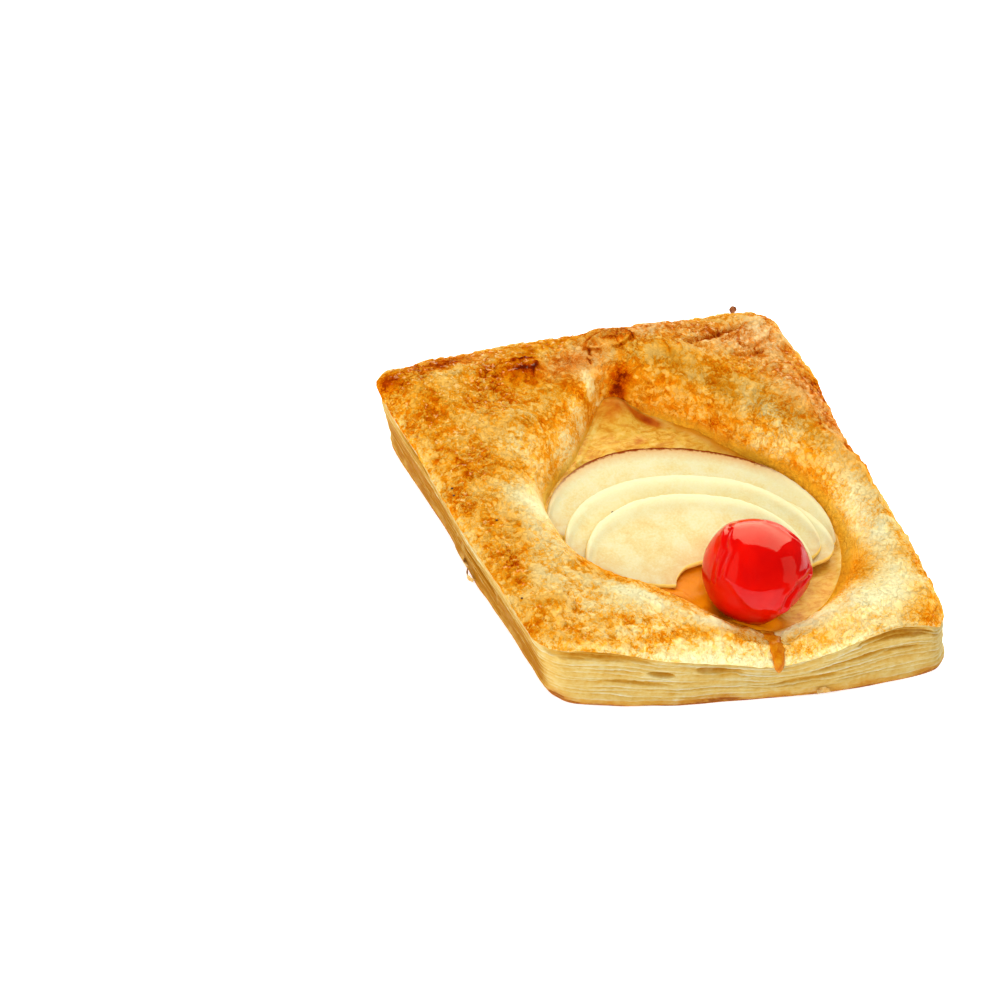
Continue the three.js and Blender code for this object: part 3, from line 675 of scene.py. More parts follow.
def layers():
    place, edge, out, _, rim, edge_height = spoke_frame()
    base = outline(BASE_CORNERS, place)
    share = 1 - np.arange(SIDE_RINGS + 1)[:, None] / SIDE_RINGS + 0 * place
    top_z = edge_height - 0.45
    z = share * top_z
    where = lifted(base + (edge - base) * (z / edge_height)[..., None], z)
    ridge, recess = sheet_edges(edge, top_z, z)
    depth = 0.75 * recess + side_hollows(place, share, top_z, where)
    strands = noise(where, [0.8, 0.8, 6], 79) + 0.5 * noise(where, [0.45, 0.45, 4], 78)
    foot = smooth(share / 0.05)
    ends = foot * smooth((1 - share) / 0.03)
    push = 0.34 * ridge + 0.28 * noise(where, [14, 14, 4.5], 77) - depth + 0.1 * strands * (0.35 + depth)
    push = push * ends - 0.3 - 0.2 * (1 - foot)
    push = push + near(z - 1.8, 1.5) * (0.3 + 0.4 * noise(where, [8, 8, 20], 80))
    grid = where + out * push[..., None]
    grid[..., 2] = z + 0.12 * noise(where, [7, 7, 6], 81) * ends
    grid[-1, :, 2] = np.clip(0.3 * noise(where[-1], 8, 82) + 0.12, 0, 0.6)
    grid[-2, :, 2] = np.maximum(grid[-2, :, 2], grid[-1, :, 2] + 0.05)

    # Hidden rings carry the piece inwards under the crust
    shoulder = [well_ring(out, rim[0] - 2, 3.2), well_ring(out, rim[0] + 3, 6.5)]
    for inward, rise in ((6, -1.5), (1.5, 0.1)):
        ring = grid[0] - out * inward
        ring[:, 2] = grid[0, :, 2] + rise
        shoulder.append(ring)
    points, faces = ring_mesh(np.concatenate([np.array(shoulder), grid]), well_point(3.0), well_point(0.0))

    left_corner = np.clip(1 - np.abs(place - 2) * SIDE_LENGTH / 6, 0, 1)
    toast = np.clip(1 - (z + 1.1 * noise(where, [7, 7, 9], 83)) / 4.2, 0, 1)
    on_left = smooth((place - 1) / 0.1) * smooth((2 - place) / 0.08)
    fields = {
        # Painted shade in the gaps under the sheets and in the hollows
        "painted_gap_shade": np.clip(depth, 0, 1.2) * ends,
        "ridge": ridge * ends,
        "toast": np.clip(toast + 0.35 * left_corner, 0, 1),
        "strand": np.clip(0.5 + strands, 0, 1),
        "golden": on_left * smooth(1.75 - 1.9 * share),
    }
    attributes = {name: over_rings(values, (0, name == "toast"), before=len(shoulder))
                  for name, values in fields.items()}
    return make_piece("layers", points, faces, layer_material(), attributes, ["pastry"])


# ---------- custard ----------
CUSTARD_SPOKES, CUSTARD_RINGS = 420, 84
BURNT = [((0, 30, 6, 5, 0), 0.5), ((6.6, 26, 7.5, 2.2, -33), 0.9), ((-3, 27, 8, 4, 0), 0.3)]
POOLS = [((-8, -31.5, 13, 9, -20), 1.1), ((5, -42, 13, 7, 5), 0.9), ((-2.5, -26, 11.5, 8, -11), 1.5)]
POOL_HEIGHT = 3.3
GLAZE_AND_PAINTED_LIGHT_FRONT = (2, -40, 17, 10, -10)


def custard():
    turn = np.arange(CUSTARD_SPOKES) / CUSTARD_SPOKES * 2 * np.pi
    degrees = np.degrees(turn)
    well = section(degrees)[0]
    radius = (well + CUSTARD_OVERLAP) * (np.arange(CUSTARD_RINGS) + 1)[:, None] / CUSTARD_RINGS
    x = WELL_MIDDLE[0] + radius * np.cos(turn)
    y = WELL_MIDDLE[1] + radius * np.sin(turn)
    past_well = radius - well
    corner = 1 - np.hypot(x - CUSTARD_CORNER["x"], y - CUSTARD_CORNER["y"]) / CUSTARD_CORNER["reach"]
    flat = np.stack([x, y, 0 * x], axis=-1)
    bent = flat + 1.2 * swirl(flat, 4, (91, 92, 93))
    wrinkle = np.clip(1 - np.abs(noise(bent, [5.5, 1.7, 9], 94)) * 3.2, 0, 1)
    small = np.clip(1 - np.abs(noise(bent, [2.2, 0.9, 9], 95)) * 3, 0, 1)
    wrinkly = ramp_between(4, 14, y) * 0.8 + 0.2
    rim_line = near(past_well + 1 + 0.5 * noise(flat, 6, 96), 0.45)
    burnt = sum_blobs(x, y, BURNT)
    pool = sum_blobs(x, y, POOLS)
    z = CUSTARD_LEVEL + CUSTARD_FALL * (y - WELL_MIDDLE[1]) + CUSTARD_CORNER["climb"] * smooth(corner)
    z = z + (0.3 * wrinkle + 0.12 * small) * wrinkly + 0.22 * rim_line + 0.2 * noise(flat, 7, 97)
    z = z + 0.5 * ramp_between(-1.6, 0, past_well)
    z = z + POOL_HEIGHT * smooth(pool * 1.4) * (1 + 0.1 * noise(flat, 3, 99))
    top = np.stack([x, y, z], axis=-1)
    skirt = top[-1:] * [1, 1, 0] + [0, 0, 5]

    back_band = ramp_between(10, 45, degrees) * (1 - ramp_between(68, 82, degrees))
    # Amber glaze in front of and under the cherry, pushed past full into the last glaze stage: painted light
    # against the cherry's shade
    glaze = np.clip(pool * 2, 0, 1) + 1.2 * blob(x, y, GLAZE_AND_PAINTED_LIGHT_FRONT)
    # A band of deeper amber along the back edge, where the custard meets the wall
    glaze = glaze + 0.6 * back_band * ramp_between(-2.9, -0.3, past_well)
    fields = {
        "burnt": np.clip(burnt + 0.25 * burnt * noise(flat, 1.6, 98), 0, 1),
        "glaze": np.clip(glaze, 0, 2),
        "wrinkle": wrinkle * wrinkly + rim_line,
    }
    attributes = {name: over_rings(values, after=1) for name, values in fields.items()}
    points, faces = ring_mesh(np.concatenate([top, skirt]), well_point(CUSTARD_LEVEL), well_point(5.0))
    return make_piece("custard_skin", points, faces, custard_material(), attributes, ["custard"])


# ---------- apple slices ----------
SLICE_STATIONS, ARC_POINTS, TOP_POINTS, UNDER_POINTS = 220, 9, 34, 6


def slice_edges(spec, u):
    """The core edge and the skin edge of a slice at places along it."""
    scoop_at, scoop_half, scoop_depth = spec["scoop"]
    end = np.clip(np.abs(u / spec["half"]), 0, 1)
    hollow = np.sqrt(np.clip(1 - ((u - scoop_at) / scoop_half) ** 2, 0, None))
    low = -spec["core"] * np.sqrt(1 - end ** CORE_SQUARENESS) + scoop_depth * hollow
    return low, spec["skin"] * np.sqrt(1 - end ** SKIN_SQUARENESS)


def slice_sections(spec, low, high):
    """Places across a slice and heights of its sections: skin edge, top, core edge and underside."""
    def edge(v, sign, angle):
        share = np.clip((v + spec["core"]) / (spec["skin"] + spec["core"]), 0, 1)
        half = mix(SLICE_THICK_CORE, SLICE_THICK_SKIN, share) / 2
        inward = v - sign * np.minimum(half, (high - low) / 2) * (1 - math.cos(angle))
        return np.array([inward, spec["z"] + spec["rise"] * v + half + half * math.sin(angle)])

    angles = np.radians(np.linspace(-90, 90, ARC_POINTS))
    skin = [edge(high, 1, angle) for angle in angles]
    core = [edge(low, -1, angle) for angle in angles[::-1]]
    top = [mix(skin[-1], core[0], k / TOP_POINTS) for k in range(1, TOP_POINTS)]
    under = [mix(core[-1], skin[0], k / UNDER_POINTS) for k in range(1, UNDER_POINTS)]
    return np.array(skin + top + core + under).transpose(1, 2, 0)


def turned(x, y, degrees):
    c, s = math.cos(math.radians(degrees)), math.sin(math.radians(degrees))
    return x * c - y * s, x * s + y * c


def on_plan(spec, local):
    x, y = turned(local[..., 0], local[..., 1], spec["turn"])
    return np.stack([spec["at"][0] + x, spec["at"][1] + y, local[..., 2]], axis=-1)


def shade_from(cover, placed):
    """Painted shadow: how close places on a slice are to the skin edge of the slice that covers it, beside
    which that slice's shade falls.
    """
    u, v = turned(placed[..., 0] - cover["at"][0], placed[..., 1] - cover["at"][1], -cover["turn"])
    beyond = np.where(np.abs(u) < cover["half"], v - slice_edges(cover, u)[1], 9)
    return np.where(beyond > -0.5, np.exp(-np.clip(beyond, 0, 9) / 1.5), 0)


def apple_slice(number, spec):
    seed = 100 + 10 * number
    half = spec["half"]
    u = half * np.cos(np.arange(1, SLICE_STATIONS) / SLICE_STATIONS * np.pi)
    path = lifted(np.stack([u, 0 * u], axis=-1))
    low, skin_edge = slice_edges(spec, u)
    ragged = 0.22 * noise(path, 1.3, seed) + 0.3 * noise(path, 5, seed + 1)
    high = skin_edge + ragged * np.clip(skin_edge / 4, 0, 1)
    low = low + 0.3 * noise(path, 2.2, seed + 2) * np.clip((high - low) / 6, 0, 1)
    v, z = slice_sections(spec, low, high)
    along = np.repeat(u[:, None], v.shape[1], axis=1)
    local = np.stack([along, v, z], axis=-1)
    on_top = np.zeros(v.shape[1])
    on_top[ARC_POINTS - 2:ARC_POINTS + TOP_POINTS] = 1
    wave = 0.16 * noise(local, [9, 9, 60], seed + 3) + 0.04 * noise(local, [2, 2, 60], seed + 4)
    wave = wave + 0.02 * noise(local, [0.8, 0.8, 60], seed + 5)
    from_skin = skin_edge[:, None] - v
    rib = near(from_skin - 2.4, 2.2) * np.clip((high - low)[:, None] / 8, 0, 1)
    local[..., 2] += (wave + 0.5 * rib) * on_top
    placed = on_plan(spec, local)
    painted_shadow = 0 * v
    if number < len(SLICES):
        painted_shadow = shade_from(SLICES[number], placed) * (1 - (along / half) ** 6)
    fields = {
        "from_skin": from_skin,
        "from_core": np.clip(v - low[:, None], 0, 20),
        "along": along / half,
        "painted_shadow": painted_shadow,
        # Edges and underside of the slice; the material gives them a painted golden glow
        "side": 1 - on_top + 0 * v,
    }
    attributes = {name: over_rings(values, (values[0].mean(), values[-1].mean()))
                  for name, values in fields.items()}
    tip_height = spec["z"] + (SLICE_THICK_CORE + SLICE_THICK_SKIN) / 4
    tips = on_plan(spec, np.array([[half, 0, tip_height], [-half, 0, tip_height]]))
    points, faces = ring_mesh(placed, *tips)
    return make_piece(f"slice_{number}", points, faces, apple_material(number), attributes,
                      [f"apple_slice_{number}"])


# ---------- cherry ----------
CHERRY_COLUMNS, CHERRY_ROWS = 260, 150
PLEAT_HALF = 0.55


def cherry_radius(way):
    axes = np.array(view_axes())
    r = np.full(way.shape[:-1], float(CHERRY_RADIUS))
    for direction, share, width in CHERRY_FLATS:
        r = r * (1 - share * smooth((way @ unit(direction) - width) / (1 - width)))
    on = way * CHERRY_RADIUS
    r = r + 0.22 * noise(on, 9, 141) + 0.1 * noise(on, 4.5, 142)
    for line, depth in CHERRY_PLEATS:
        joints = [unit(joint) @ axes * CHERRY_RADIUS for joint in line]
        away = np.full(r.shape, 1e9)
        for a, b in zip(joints, joints[1:]):
            t = np.clip(((on - a) @ (b - a)) / ((b - a) @ (b - a)), 0, 1)
            away = np.minimum(away, np.linalg.norm(on - a - t[..., None] * (b - a), axis=-1))
        r = r - depth * near(away, PLEAT_HALF) + 0.5 * depth * near(away - 1.2, 0.65)
    away = np.linalg.norm(way - unit(CHERRY_LOBE["at"]) @ axes, axis=-1) * CHERRY_RADIUS
    return r + CHERRY_LOBE["rise"] * near(away, CHERRY_LOBE["size"])


def cherry():
    lat = (np.arange(1, CHERRY_ROWS) / CHERRY_ROWS * np.pi)[:, None]
    lon = np.arange(CHERRY_COLUMNS) / CHERRY_COLUMNS * 2 * np.pi
    way = np.stack([np.sin(lat) * np.cos(lon), np.sin(lat) * np.sin(lon), np.cos(lat) + 0 * lon], axis=-1)
    poles = np.array([[0, 0, 1.0], [0, 0, -1.0]])
    points, faces = ring_mesh(way * cherry_radius(way)[..., None], *(poles * cherry_radius(poles)[:, None]))
    material = cherry_material()
    return make_piece("cherry_fruit", points + CHERRY_AT, faces, material, None, ["cherry"])


# ---------- small pieces ----------
DRIP_COLUMNS = 18
# x, y, half width and thickness of the drip on the crust; x, y, z, half width and thickness on the side
DRIP_OVER = [(-6, -41.6, 0.4, 0.15), (-1, -43.2, 0.5, 0.2), (4, -44, 0.8, 0.3), (6.4, -45.6, 1.5, 0.45),
             (6.2, -49.6, 1.9, 0.55), (6.0, -52.6, 1.7, 0.55)]
DRIP_DOWN = [(6.0, -54.3, 13.0, 1.5, 0.55), (6.1, -54.9, 11.6, 1.3, 0.6), (6.3, -55.2, 10.2, 1.0, 0.6),
             (6.3, -55.2, 9.5, 0.4, 0.35)]
SPECK_PLACES = [(-50.4, 3.8), (-44.6, -7.2), (-47.4, -30.5), (-50.0, 6.0), (-15.6, -6.4)]
SPECK_HALF = np.array([0.34, 0.24, 0.16])
SPECK_SINK = 0.05
FLAKE_SPOKES, FLAKE_RINGS, FLAKE_CURL = 40, 7, 0.5


def drape(trees, x, y):
    """Place and normal of the highest surface under a point of the plan."""
    spot = Vector((np.array([x, y, 60.0]) - PLAN_MIDDLE) / 1000)
    hits = [tree.ray_cast(spot, Vector((0, 0, -1)))[:2] for tree in trees]
    place, normal = max((hit for hit in hits if hit[0] is not None), key=lambda hit: hit[0].z)
    return np.array(place) * 1000 + PLAN_MIDDLE, np.array(normal)


def relax(line, times):
    """Rounds a line of points, its ends kept."""
    for _ in range(times):
        line[1:-1] = (line[:-2] + 2 * line[1:-1] + line[2:]) / 4
    return line


def through(points, count):
    """Evenly shared places on straight lines through the points, a little rounded."""
    points = np.array(points, float)
    at = np.linspace(0, len(points) - 1, count)
    steps = np.arange(len(points))
    return relax(np.stack([np.interp(at, steps, column) for column in points.T], axis=1), 6)


def drip(trees):
    """The run of glaze from the filling over the front lip and down the side: a thin domed strand."""
    path = []
    for x, y, half_width, thick in through(DRIP_OVER, 40):
        at, normal = drape(trees, x, y)
        path.append((at, normal, half_width * (1 + 0.12 * math.sin(x * 3 + y * 2)), thick))
    for x, y, z, half_width, thick in through(DRIP_DOWN, 18):
        path.append((np.array([x, y, z]), np.array([0.0, -1.0, 0.15]), half_width, thick))
    places = relax(np.array([step[0] for step in path]), 4)
    turn = np.arange(DRIP_COLUMNS) / DRIP_COLUMNS * 2 * np.pi
    rows = []
    for at, (_, normal, half_width, thick), tangent in zip(places, path, np.gradient(places, axis=0)):
        side = unit(np.cross(unit(tangent), normal))
        upward = np.cross(side, unit(tangent))
        rise = np.where(np.sin(turn) > 0, thick, 0.25 * thick + 0.15) * np.sin(turn)
        rows.append(at + side * (np.cos(turn) * half_width)[:, None] + upward * rise[:, None])
    points, faces = ring_mesh(np.array(rows), places[0], places[-1])
    make_piece("glaze_drip", points, faces, glaze_material())


def flake(name, at, size, turn, tilt, seed, stops):
    """A loose ragged leaf of pastry, thin and curled."""
    angle = np.arange(FLAKE_SPOKES) / FLAKE_SPOKES * 2 * np.pi
    circle = np.stack([np.cos(angle), np.sin(angle), 0 * angle], axis=1) * 2
    ragged = 1 + 0.35 * noise(circle, 1.6, seed) + 0.25 * noise(circle, 0.6, seed + 1)
    shares = (np.arange(FLAKE_RINGS) + 1) / FLAKE_RINGS
    rows = []
    for side, share in [(1, share) for share in shares] + [(-1, share) for share in shares[::-1]]:
        u = size[0] * share * ragged * np.cos(angle)
        v = size[1] * share * ragged * np.sin(angle)
        flat = np.stack([u, v, 0 * u], axis=1)
        w = FLAKE_CURL * u ** 2 / size[0] + 0.12 * side * (1 - share ** 4) + 0.2 * noise(flat, 1.2, seed + 2)
        rows.append(flat + [0, 0, 1] * w[:, None])
    points, faces = ring_mesh(np.array(rows), rows[0].mean(axis=0), rows[-1].mean(axis=0))
    place = Matrix.Rotation(math.radians(turn), 3, "Z") @ Matrix.Rotation(math.radians(tilt), 3, "X")
    points = points @ np.array(place).T + np.array(at)
    make_piece(name, points, [face[:, ::-1] for face in faces], flake_material(name, stops))


def flakes(trees):
    at, _ = drape(trees, 37.3, 50.4)
    flake("back_flake", at + np.array([0, 0.4, 0.6]), (1.9, 1.1), 60, 45, 211, DARK_FLAKE)
    flake("left_flake", (-47.4, -4.6, 2.3), (2.0, 1.0), 95, 70, 221, PALE_FLAKE)
    flake("left_flake_small", (-47.2, -1.2, 3.6), (1.2, 0.7), 80, 60, 231, PALE_FLAKE)
    flake("front_flake", (18.0, -55.5, 1.9), (1.7, 0.8), 5, 75, 241, PALE_FLAKE)


def specks(trees):
    """Tiny dark seeds on the crust and on the apple."""
    parts, faces, start = [], [], 0
    turn = np.arange(12) / 12 * 2 * np.pi
    lat = np.radians([30, 60, 90, 120, 150])[:, None]
    ball = np.stack([np.sin(lat) * np.cos(turn), np.sin(lat) * np.sin(turn), np.cos(lat) + 0 * turn], axis=-1)
    points, made = ring_mesh(ball * SPECK_HALF, SPECK_HALF * [0, 0, 1], SPECK_HALF * [0, 0, -1])
    for x, y in SPECK_PLACES:
        at, _ = drape(trees, x, y)
        parts.append(points + at + [0, 0, SPECK_SINK])
        faces += [face + start for face in made]
        start += len(points)
    make_piece("specks", np.concatenate(parts), faces, speck_material())


# ---------- materials ----------
def lit(red, green, blue, level=LIGHT_LEVEL):
    """Linear colour of a surface that shows as these 0 to 255 numbers under light of the given level."""
    parts = [c / 255 for c in (red, green, blue)]
    linear = [p / 12.92 if p <= 0.04045 else ((p + 0.055) / 1.055) ** 2.4 for p in parts]
    return tuple(min(part / level, 1) for part in linear) + (1.0,)


class Field:
    """A number or a colour that varies over a surface: an output of a node."""

    def __init__(self, look, socket):
        self.look, self.socket = look, socket

    def __add__(self, other):
        return self.look.math("ADD", self, other)

    def __sub__(self, other):
        return self.look.math("SUBTRACT", self, other)

    def __rsub__(self, other):
        return self.look.math("SUBTRACT", other, self)

    def __mul__(self, other):
        return self.look.math("MULTIPLY", self, other)

    def __rtruediv__(self, other):
        return self.look.math("DIVIDE", other, self)

    def __abs__(self):
        return self.look.math("ABSOLUTE", self)

    def at_least(self, other):
        return self.look.math("MAXIMUM", self, other)

    def at_most(self, other):
        return self.look.math("MINIMUM", self, other)

    def red(self):
        return self.look.field("ShaderNodeSeparateColor", {0: self})

    def fit(self, low, high, to_low=0.0, to_high=1.0):
        """The part from low to high stretched over another range, and clamped to it."""
        return self.look.field("ShaderNodeMapRange", {"Value": self, "From Min": low, "From Max": high,
                                                      "To Min": to_low, "To Max": to_high})


class Look:
    """A node material with one Principled shader."""

    def __init__(self, name, **values):
        self.material = bpy.data.materials.new(name)
        self.material.use_nodes = True
        self.tree = self.material.node_tree
        self.shader = self.tree.nodes["Principled BSDF"]
        self.place = self.field("ShaderNodeTexCoord", output="Object")
        self.finish(**values)

    def put(self, socket, value):
        if isinstance(value, Field):
            self.tree.links.new(value.socket, socket)
        else:
            socket.default_value = value

    def node(self, kind, inputs=(), **settings):
        made = self.tree.nodes.new(kind)
        for key, value in settings.items():
            setattr(made, key, value)
        for key, value in dict(inputs).items():
            self.put(made.inputs[key], value)
        return made

    def field(self, kind, inputs=(), output=0, **settings):
        return Field(self, self.node(kind, inputs, **settings).outputs[output])

    def attributes(self, *names):
        return [self.field("ShaderNodeAttribute", output="Fac", attribute_name=name) for name in names]

    def math(self, operation, a, b=0.0):
        return self.field("ShaderNodeMath", {0: a, 1: b}, operation=operation)

    def vector(self, operation, a, b):
        return self.field("ShaderNodeVectorMath", {0: a, 1: b}, operation=operation)

    def grain(self, size_mm, detail=2.0, roughness=0.5, distortion=0.0, stretch=(1, 1, 1)):
        """Noise of about the given size, centred on 0.5."""
        moved = self.field("ShaderNodeMapping", {"Vector": self.place, "Scale": stretch})
        return self.field("ShaderNodeTexNoise", {"Vector": moved, "Scale": 1000 / size_mm, "Detail": detail,
                                                 "Roughness": roughness, "Distortion": distortion})

    def scattered(self, size_mm, swirl_mm, shift_mm, feature="F1"):
        """Distance and colour of cells of the given size, pushed about by noise."""
        swirling = self.field("ShaderNodeTexNoise", {"Vector": self.place, "Scale": 1000 / swirl_mm}, "Color")
        centred = self.vector("SUBTRACT", swirling, (0.5, 0.5, 0.5))
        shifted = self.vector("MULTIPLY", centred, (shift_mm / 1000,) * 3)
        warped = self.vector("ADD", self.place, shifted)
        made = self.node("ShaderNodeTexVoronoi", {"Vector": warped, "Scale": 1000 / size_mm}, feature=feature)
        return Field(self, made.outputs[0]), Field(self, made.outputs[1])

    def blend(self, share, a, b, kind="MIX"):
        return self.field("ShaderNodeMix", {0: share, 6: a, 7: b}, 2, data_type="RGBA", blend_type=kind,
                          clamp_result=True)

    def ramp(self, value, stops, level=LIGHT_LEVEL):
        """Colours along a value. A stop is its place and a colour as it shows, or a plain grey."""
        made = self.node("ShaderNodeValToRGB", {0: value})
        elements = made.color_ramp.elements
        while len(elements) < len(stops):
            elements.new(0.5)
        for element, (at, *tone) in zip(elements, stops):
            element.position = at
            element.color = lit(*tone, level) if len(tone) == 3 else (*tone * 3, 1)
        return Field(self, made.outputs[0])

    def bump(self, height, depth_mm):
        return self.field("ShaderNodeBump", {"Height": height, "Distance": depth_mm / 1000, "Strength": 1.0})

    def finish(self, **values):
        for key, value in values.items():
            self.put(self.shader.inputs[key.replace("_", " ")], value)
        return self.material


# Colours as they show in the studio: place on the ramp, red, green, blue
BAKED = [
    (0, 255, 242, 182), (0.12, 255, 230, 158), (0.24, 254, 215, 132), (0.34, 252, 196, 96),
    (0.44, 246, 174, 56), (0.54, 236, 148, 16), (0.64, 224, 123, 5), (0.74, 205, 97, 0),
    (0.84, 178, 65, 0), (0.92, 142, 40, 1), (1, 104, 24, 3),
]
FLAKED = [
    (0, 255, 238, 196), (0.2, 254, 215, 156), (0.36, 248, 188, 122), (0.5, 238, 160, 84),
    (0.64, 214, 118, 34), (0.78, 184, 78, 8), (1, 104, 26, 3),
]
WALL_FOOT_COLOURS = [(0.1, 250, 212, 96), (0.45, 238, 172, 40), (0.8, 216, 118, 8), (1, 176, 62, 3)]
SIDE = [
    (0, 255, 246, 206), (0.22, 250, 228, 160), (0.45, 242, 204, 116), (0.7, 228, 172, 66), (1, 204, 134, 26),
]
TOASTED = [(0, 248, 216, 128), (0.5, 240, 182, 76), (0.85, 222, 144, 40), (1, 176, 88, 18)]
CUSTARD = [(0, 252, 214, 110), (0.4, 244, 188, 66), (0.7, 228, 152, 30), (1, 208, 112, 12)]
SCORCHED = [(0, 226, 140, 24), (0.55, 212, 108, 8), (1, 180, 66, 3)]
# The glaze on the custard, ever thicker: where it begins and is full, its share, colour and light. The last
# and palest stage is painted light that lifts the glaze in the cherry's shade
GLAZES = [
    (0.1, 0.55, 0.9, lit(224, 140, 16, 1.4)), (0.6, 0.95, 1, lit(228, 132, 2, 1.2)),
    (1.05, 1.6, 1, lit(252, 142, 4, 0.8)),
]
FLESH = [(0.3, 252, 244, 192), (0.5, 251, 238, 176), (0.7, 249, 224, 150), (0.9, 244, 204, 130)]
FLESH_WARMTH = (-0.04, -0.02, 0.0, 0.07)  # from the palest slice at the back to the peachy one in front
# Strength of the browned skin edge along the lowest slice
SKIN_LINE = [(0, 0.2), (0.08, 0.7), (0.2, 0.9), (0.45, 1), (0.74, 1), (0.83, 0.35), (0.9, 0)]
GLAZE = [(0.3, 248, 172, 44), (0.5, 232, 134, 8), (0.7, 208, 98, 0)]
PALE_FLAKE = [(0.3, 250, 222, 150), (0.55, 238, 184, 92), (0.75, 208, 132, 44)]
DARK_FLAKE = [(0.3, 214, 140, 80), (0.55, 160, 84, 36), (0.75, 96, 40, 16)]
SPECK = [(0.3, 40, 20, 10), (0.7, 80, 44, 20)]
CHERRY = [(0.3, 212, 3, 0), (0.6, 231, 9, 0), (0.8, 240, 20, 2)]
FLOOR = [(0, 0.84), (1, 0.88)]
BRIGHTEST_RED = 0.97
APPLE_GLOSS, APPLE_DEPTH = 0.09, 0.3


def crust_material():
    look = Look("baked_crust", IOR=1.45, Roughness=0.45, Specular_IOR_Level=0.0, Coat_Roughness=0.1,
                Coat_IOR=1.7)
    bake, lift, foot, tan = look.attributes("bake", "lift", "foot", "tan")
    grainy, calm, boost, shine = look.attributes("grainy", "calm", "boost", "shine")
    cloud = look.grain(3.4, 4.0, 0.6, 0.6)
    fine = look.grain(0.42, 3.0, 0.65)
    distance, tint = look.scattered(1.55, 2.2, 1.3)
    granule = distance.fit(0.46, 0.28) * tint.red().fit(0.1, 0.7, 0.1, 1) * grainy
    threshold = (bake - 0.5) * 0.25 + 0.53 + (cloud - 0.5) * -0.15
    fleck = (look.grain(1.4, 3.0, 0.6, 1.3) - threshold).fit(-0.012, 0.03)
    _, plate = look.scattered(2.0, 1.5, 2.2)
    wave = abs(look.grain(2.2, 2.5, 0.55, 1.8) - 0.5)
    worm, valley = wave.fit(0.03, 0.008), wave.fit(0.06, 0.11)
    distance, _ = look.scattered(3.4, 2.2, 2.4, "DISTANCE_TO_EDGE")
    crack = distance.fit(0.07, 0.0) * (1 - grainy)
    # Coat spots of real gloss, also made paler in the tone below: a painted glint that shows even where the
    # coat reflects nothing
    gloss_and_painted_glint = look.grain(1.0, 2.0, 0.5, 0.5).fit(0.6, 0.63, 0, 0.45) * shine
    tone = (cloud - 0.5) * 0.26 + (fine - 0.5) * 0.26 + fleck * -0.14 + granule * -0.2
    tone = tone + (plate.red() - 0.5) * 0.14 + (worm * -0.2 + valley * 0.07) * (1 - grainy * 0.6)
    # Raised bits are paler and hollows darker: partly glaze gathered in the hollows, partly painted shade
    tone = tone + crack * 0.16 + gloss_and_painted_glint * -0.2 + (lift - 0.35) * -0.42
    tone = tone.at_least(-0.28).at_most(0.14) * calm.fit(0, 1, 1, 0.35) + bake + 0.12
    shade = look.blend(tan * 0.85, look.ramp(tone, BAKED), look.ramp(tone, FLAKED))
    # Low on the well wall the crust takes plain orange colours without the fine pattern
    shade = look.blend(foot.fit(0.2, 0.9), shade, look.ramp(bake + (cloud - 0.5) * 0.4, WALL_FOOT_COLOURS))
    # Painted light: the colour is made paler by the boost where less light falls, short of pushing red past
    # its brightest
    level = boost.at_most(BRIGHTEST_RED / shade.red())
    level = look.field("ShaderNodeCombineXYZ", {0: level, 1: level, 2: level})
    shade = look.blend(1.0, shade, level, "MULTIPLY")
    height = (fleck.at_least(granule) + worm) * 0.5 + fine * 0.4 + crack * -0.5
    return look.finish(Base_Color=shade, Normal=look.bump(height, 0.22), Coat_Weight=gloss_and_painted_glint)


def layer_material():
    look = Look("pastry_layers", IOR=1.4, Specular_IOR_Level=0.05)
    painted_gap_shade, ridge, toast, strand, golden = look.attributes("painted_gap_shade", "ridge", "toast", "strand", "golden")
    fine = look.grain(0.6, 3.0, 0.6, 0.3, (0.4, 0.4, 1))
    cloud = look.grain(6, 3.0, 0.6, 0.5)
    # Painted shade: the side is darker in its gaps and hollows
    tone = painted_gap_shade * 0.5 + ridge * -0.46 + (fine - 0.5) * 0.5 + (cloud - 0.5) * 0.5 + (strand - 0.5) * -0.08
    tone = tone + golden * (ridge * -0.5 + 0.75)
    base = look.ramp(tone + 0.38, SIDE, SIDE_LIGHT)
    base = look.blend(golden * (ridge * -0.6 + 0.9), base, lit(192, 122, 14, SIDE_LIGHT))
    browned = look.ramp(toast + (fine - 0.5) * 0.7, TOASTED, SIDE_LIGHT)
    patchy = toast + (cloud - 0.5) * 1.6
    shade = look.blend(patchy.fit(0.1, 0.8, 0.0, 0.9), base, browned)
    return look.finish(Base_Color=shade, Roughness=fine.fit(0.3, 0.7, 0.5, 0.7), Normal=look.bump(fine, 0.08))


def custard_material():
    look = Look("custard_skin", IOR=1.45, Roughness=0.35, Specular_IOR_Level=0.07, Coat_Roughness=0.08,
                Subsurface_Weight=0.15, Subsurface_Radius=(0.003, 0.0015, 0.0004), Subsurface_Scale=1.0)
    burnt, glaze, wrinkle = look.attributes("burnt", "glaze", "wrinkle")
    cloud = look.grain(5, 4.0, 0.6, 1.0)
    fine = look.grain(0.9, 3.0, 0.6, 0.5)
    vein = abs(look.grain(4.5, 3.0, 0.6, 1.2, (0.7, 1.7, 1)) - 0.5)
    tone = (cloud - 0.5) * 1.2 + (fine - 0.5) * 0.5 + wrinkle * -0.22 + vein.fit(0.07, 0.0) * 0.26
    shade = look.ramp(tone + 0.45, CUSTARD, WELL_LIGHT)
    for begin, full, share, amber in GLAZES:
        shade = look.blend(glaze.fit(begin, full, 0, share), shade, amber)
    scorched = look.ramp(burnt + (fine - 0.5) * 0.4, SCORCHED, WELL_LIGHT)
    shade = look.blend(burnt.fit(0.08, 0.6), shade, scorched)
    ripple = look.grain(2.4, 3.0, 0.55, 1.0, (0.5, 1.6, 1))
    return look.finish(Base_Color=shade, Normal=look.bump(fine, 0.05), Coat_Normal=look.bump(ripple, 0.5),
                       Coat_Weight=burnt.at_least(glaze * 0.2).fit(0.0, 0.2, 0.3, 0.0))


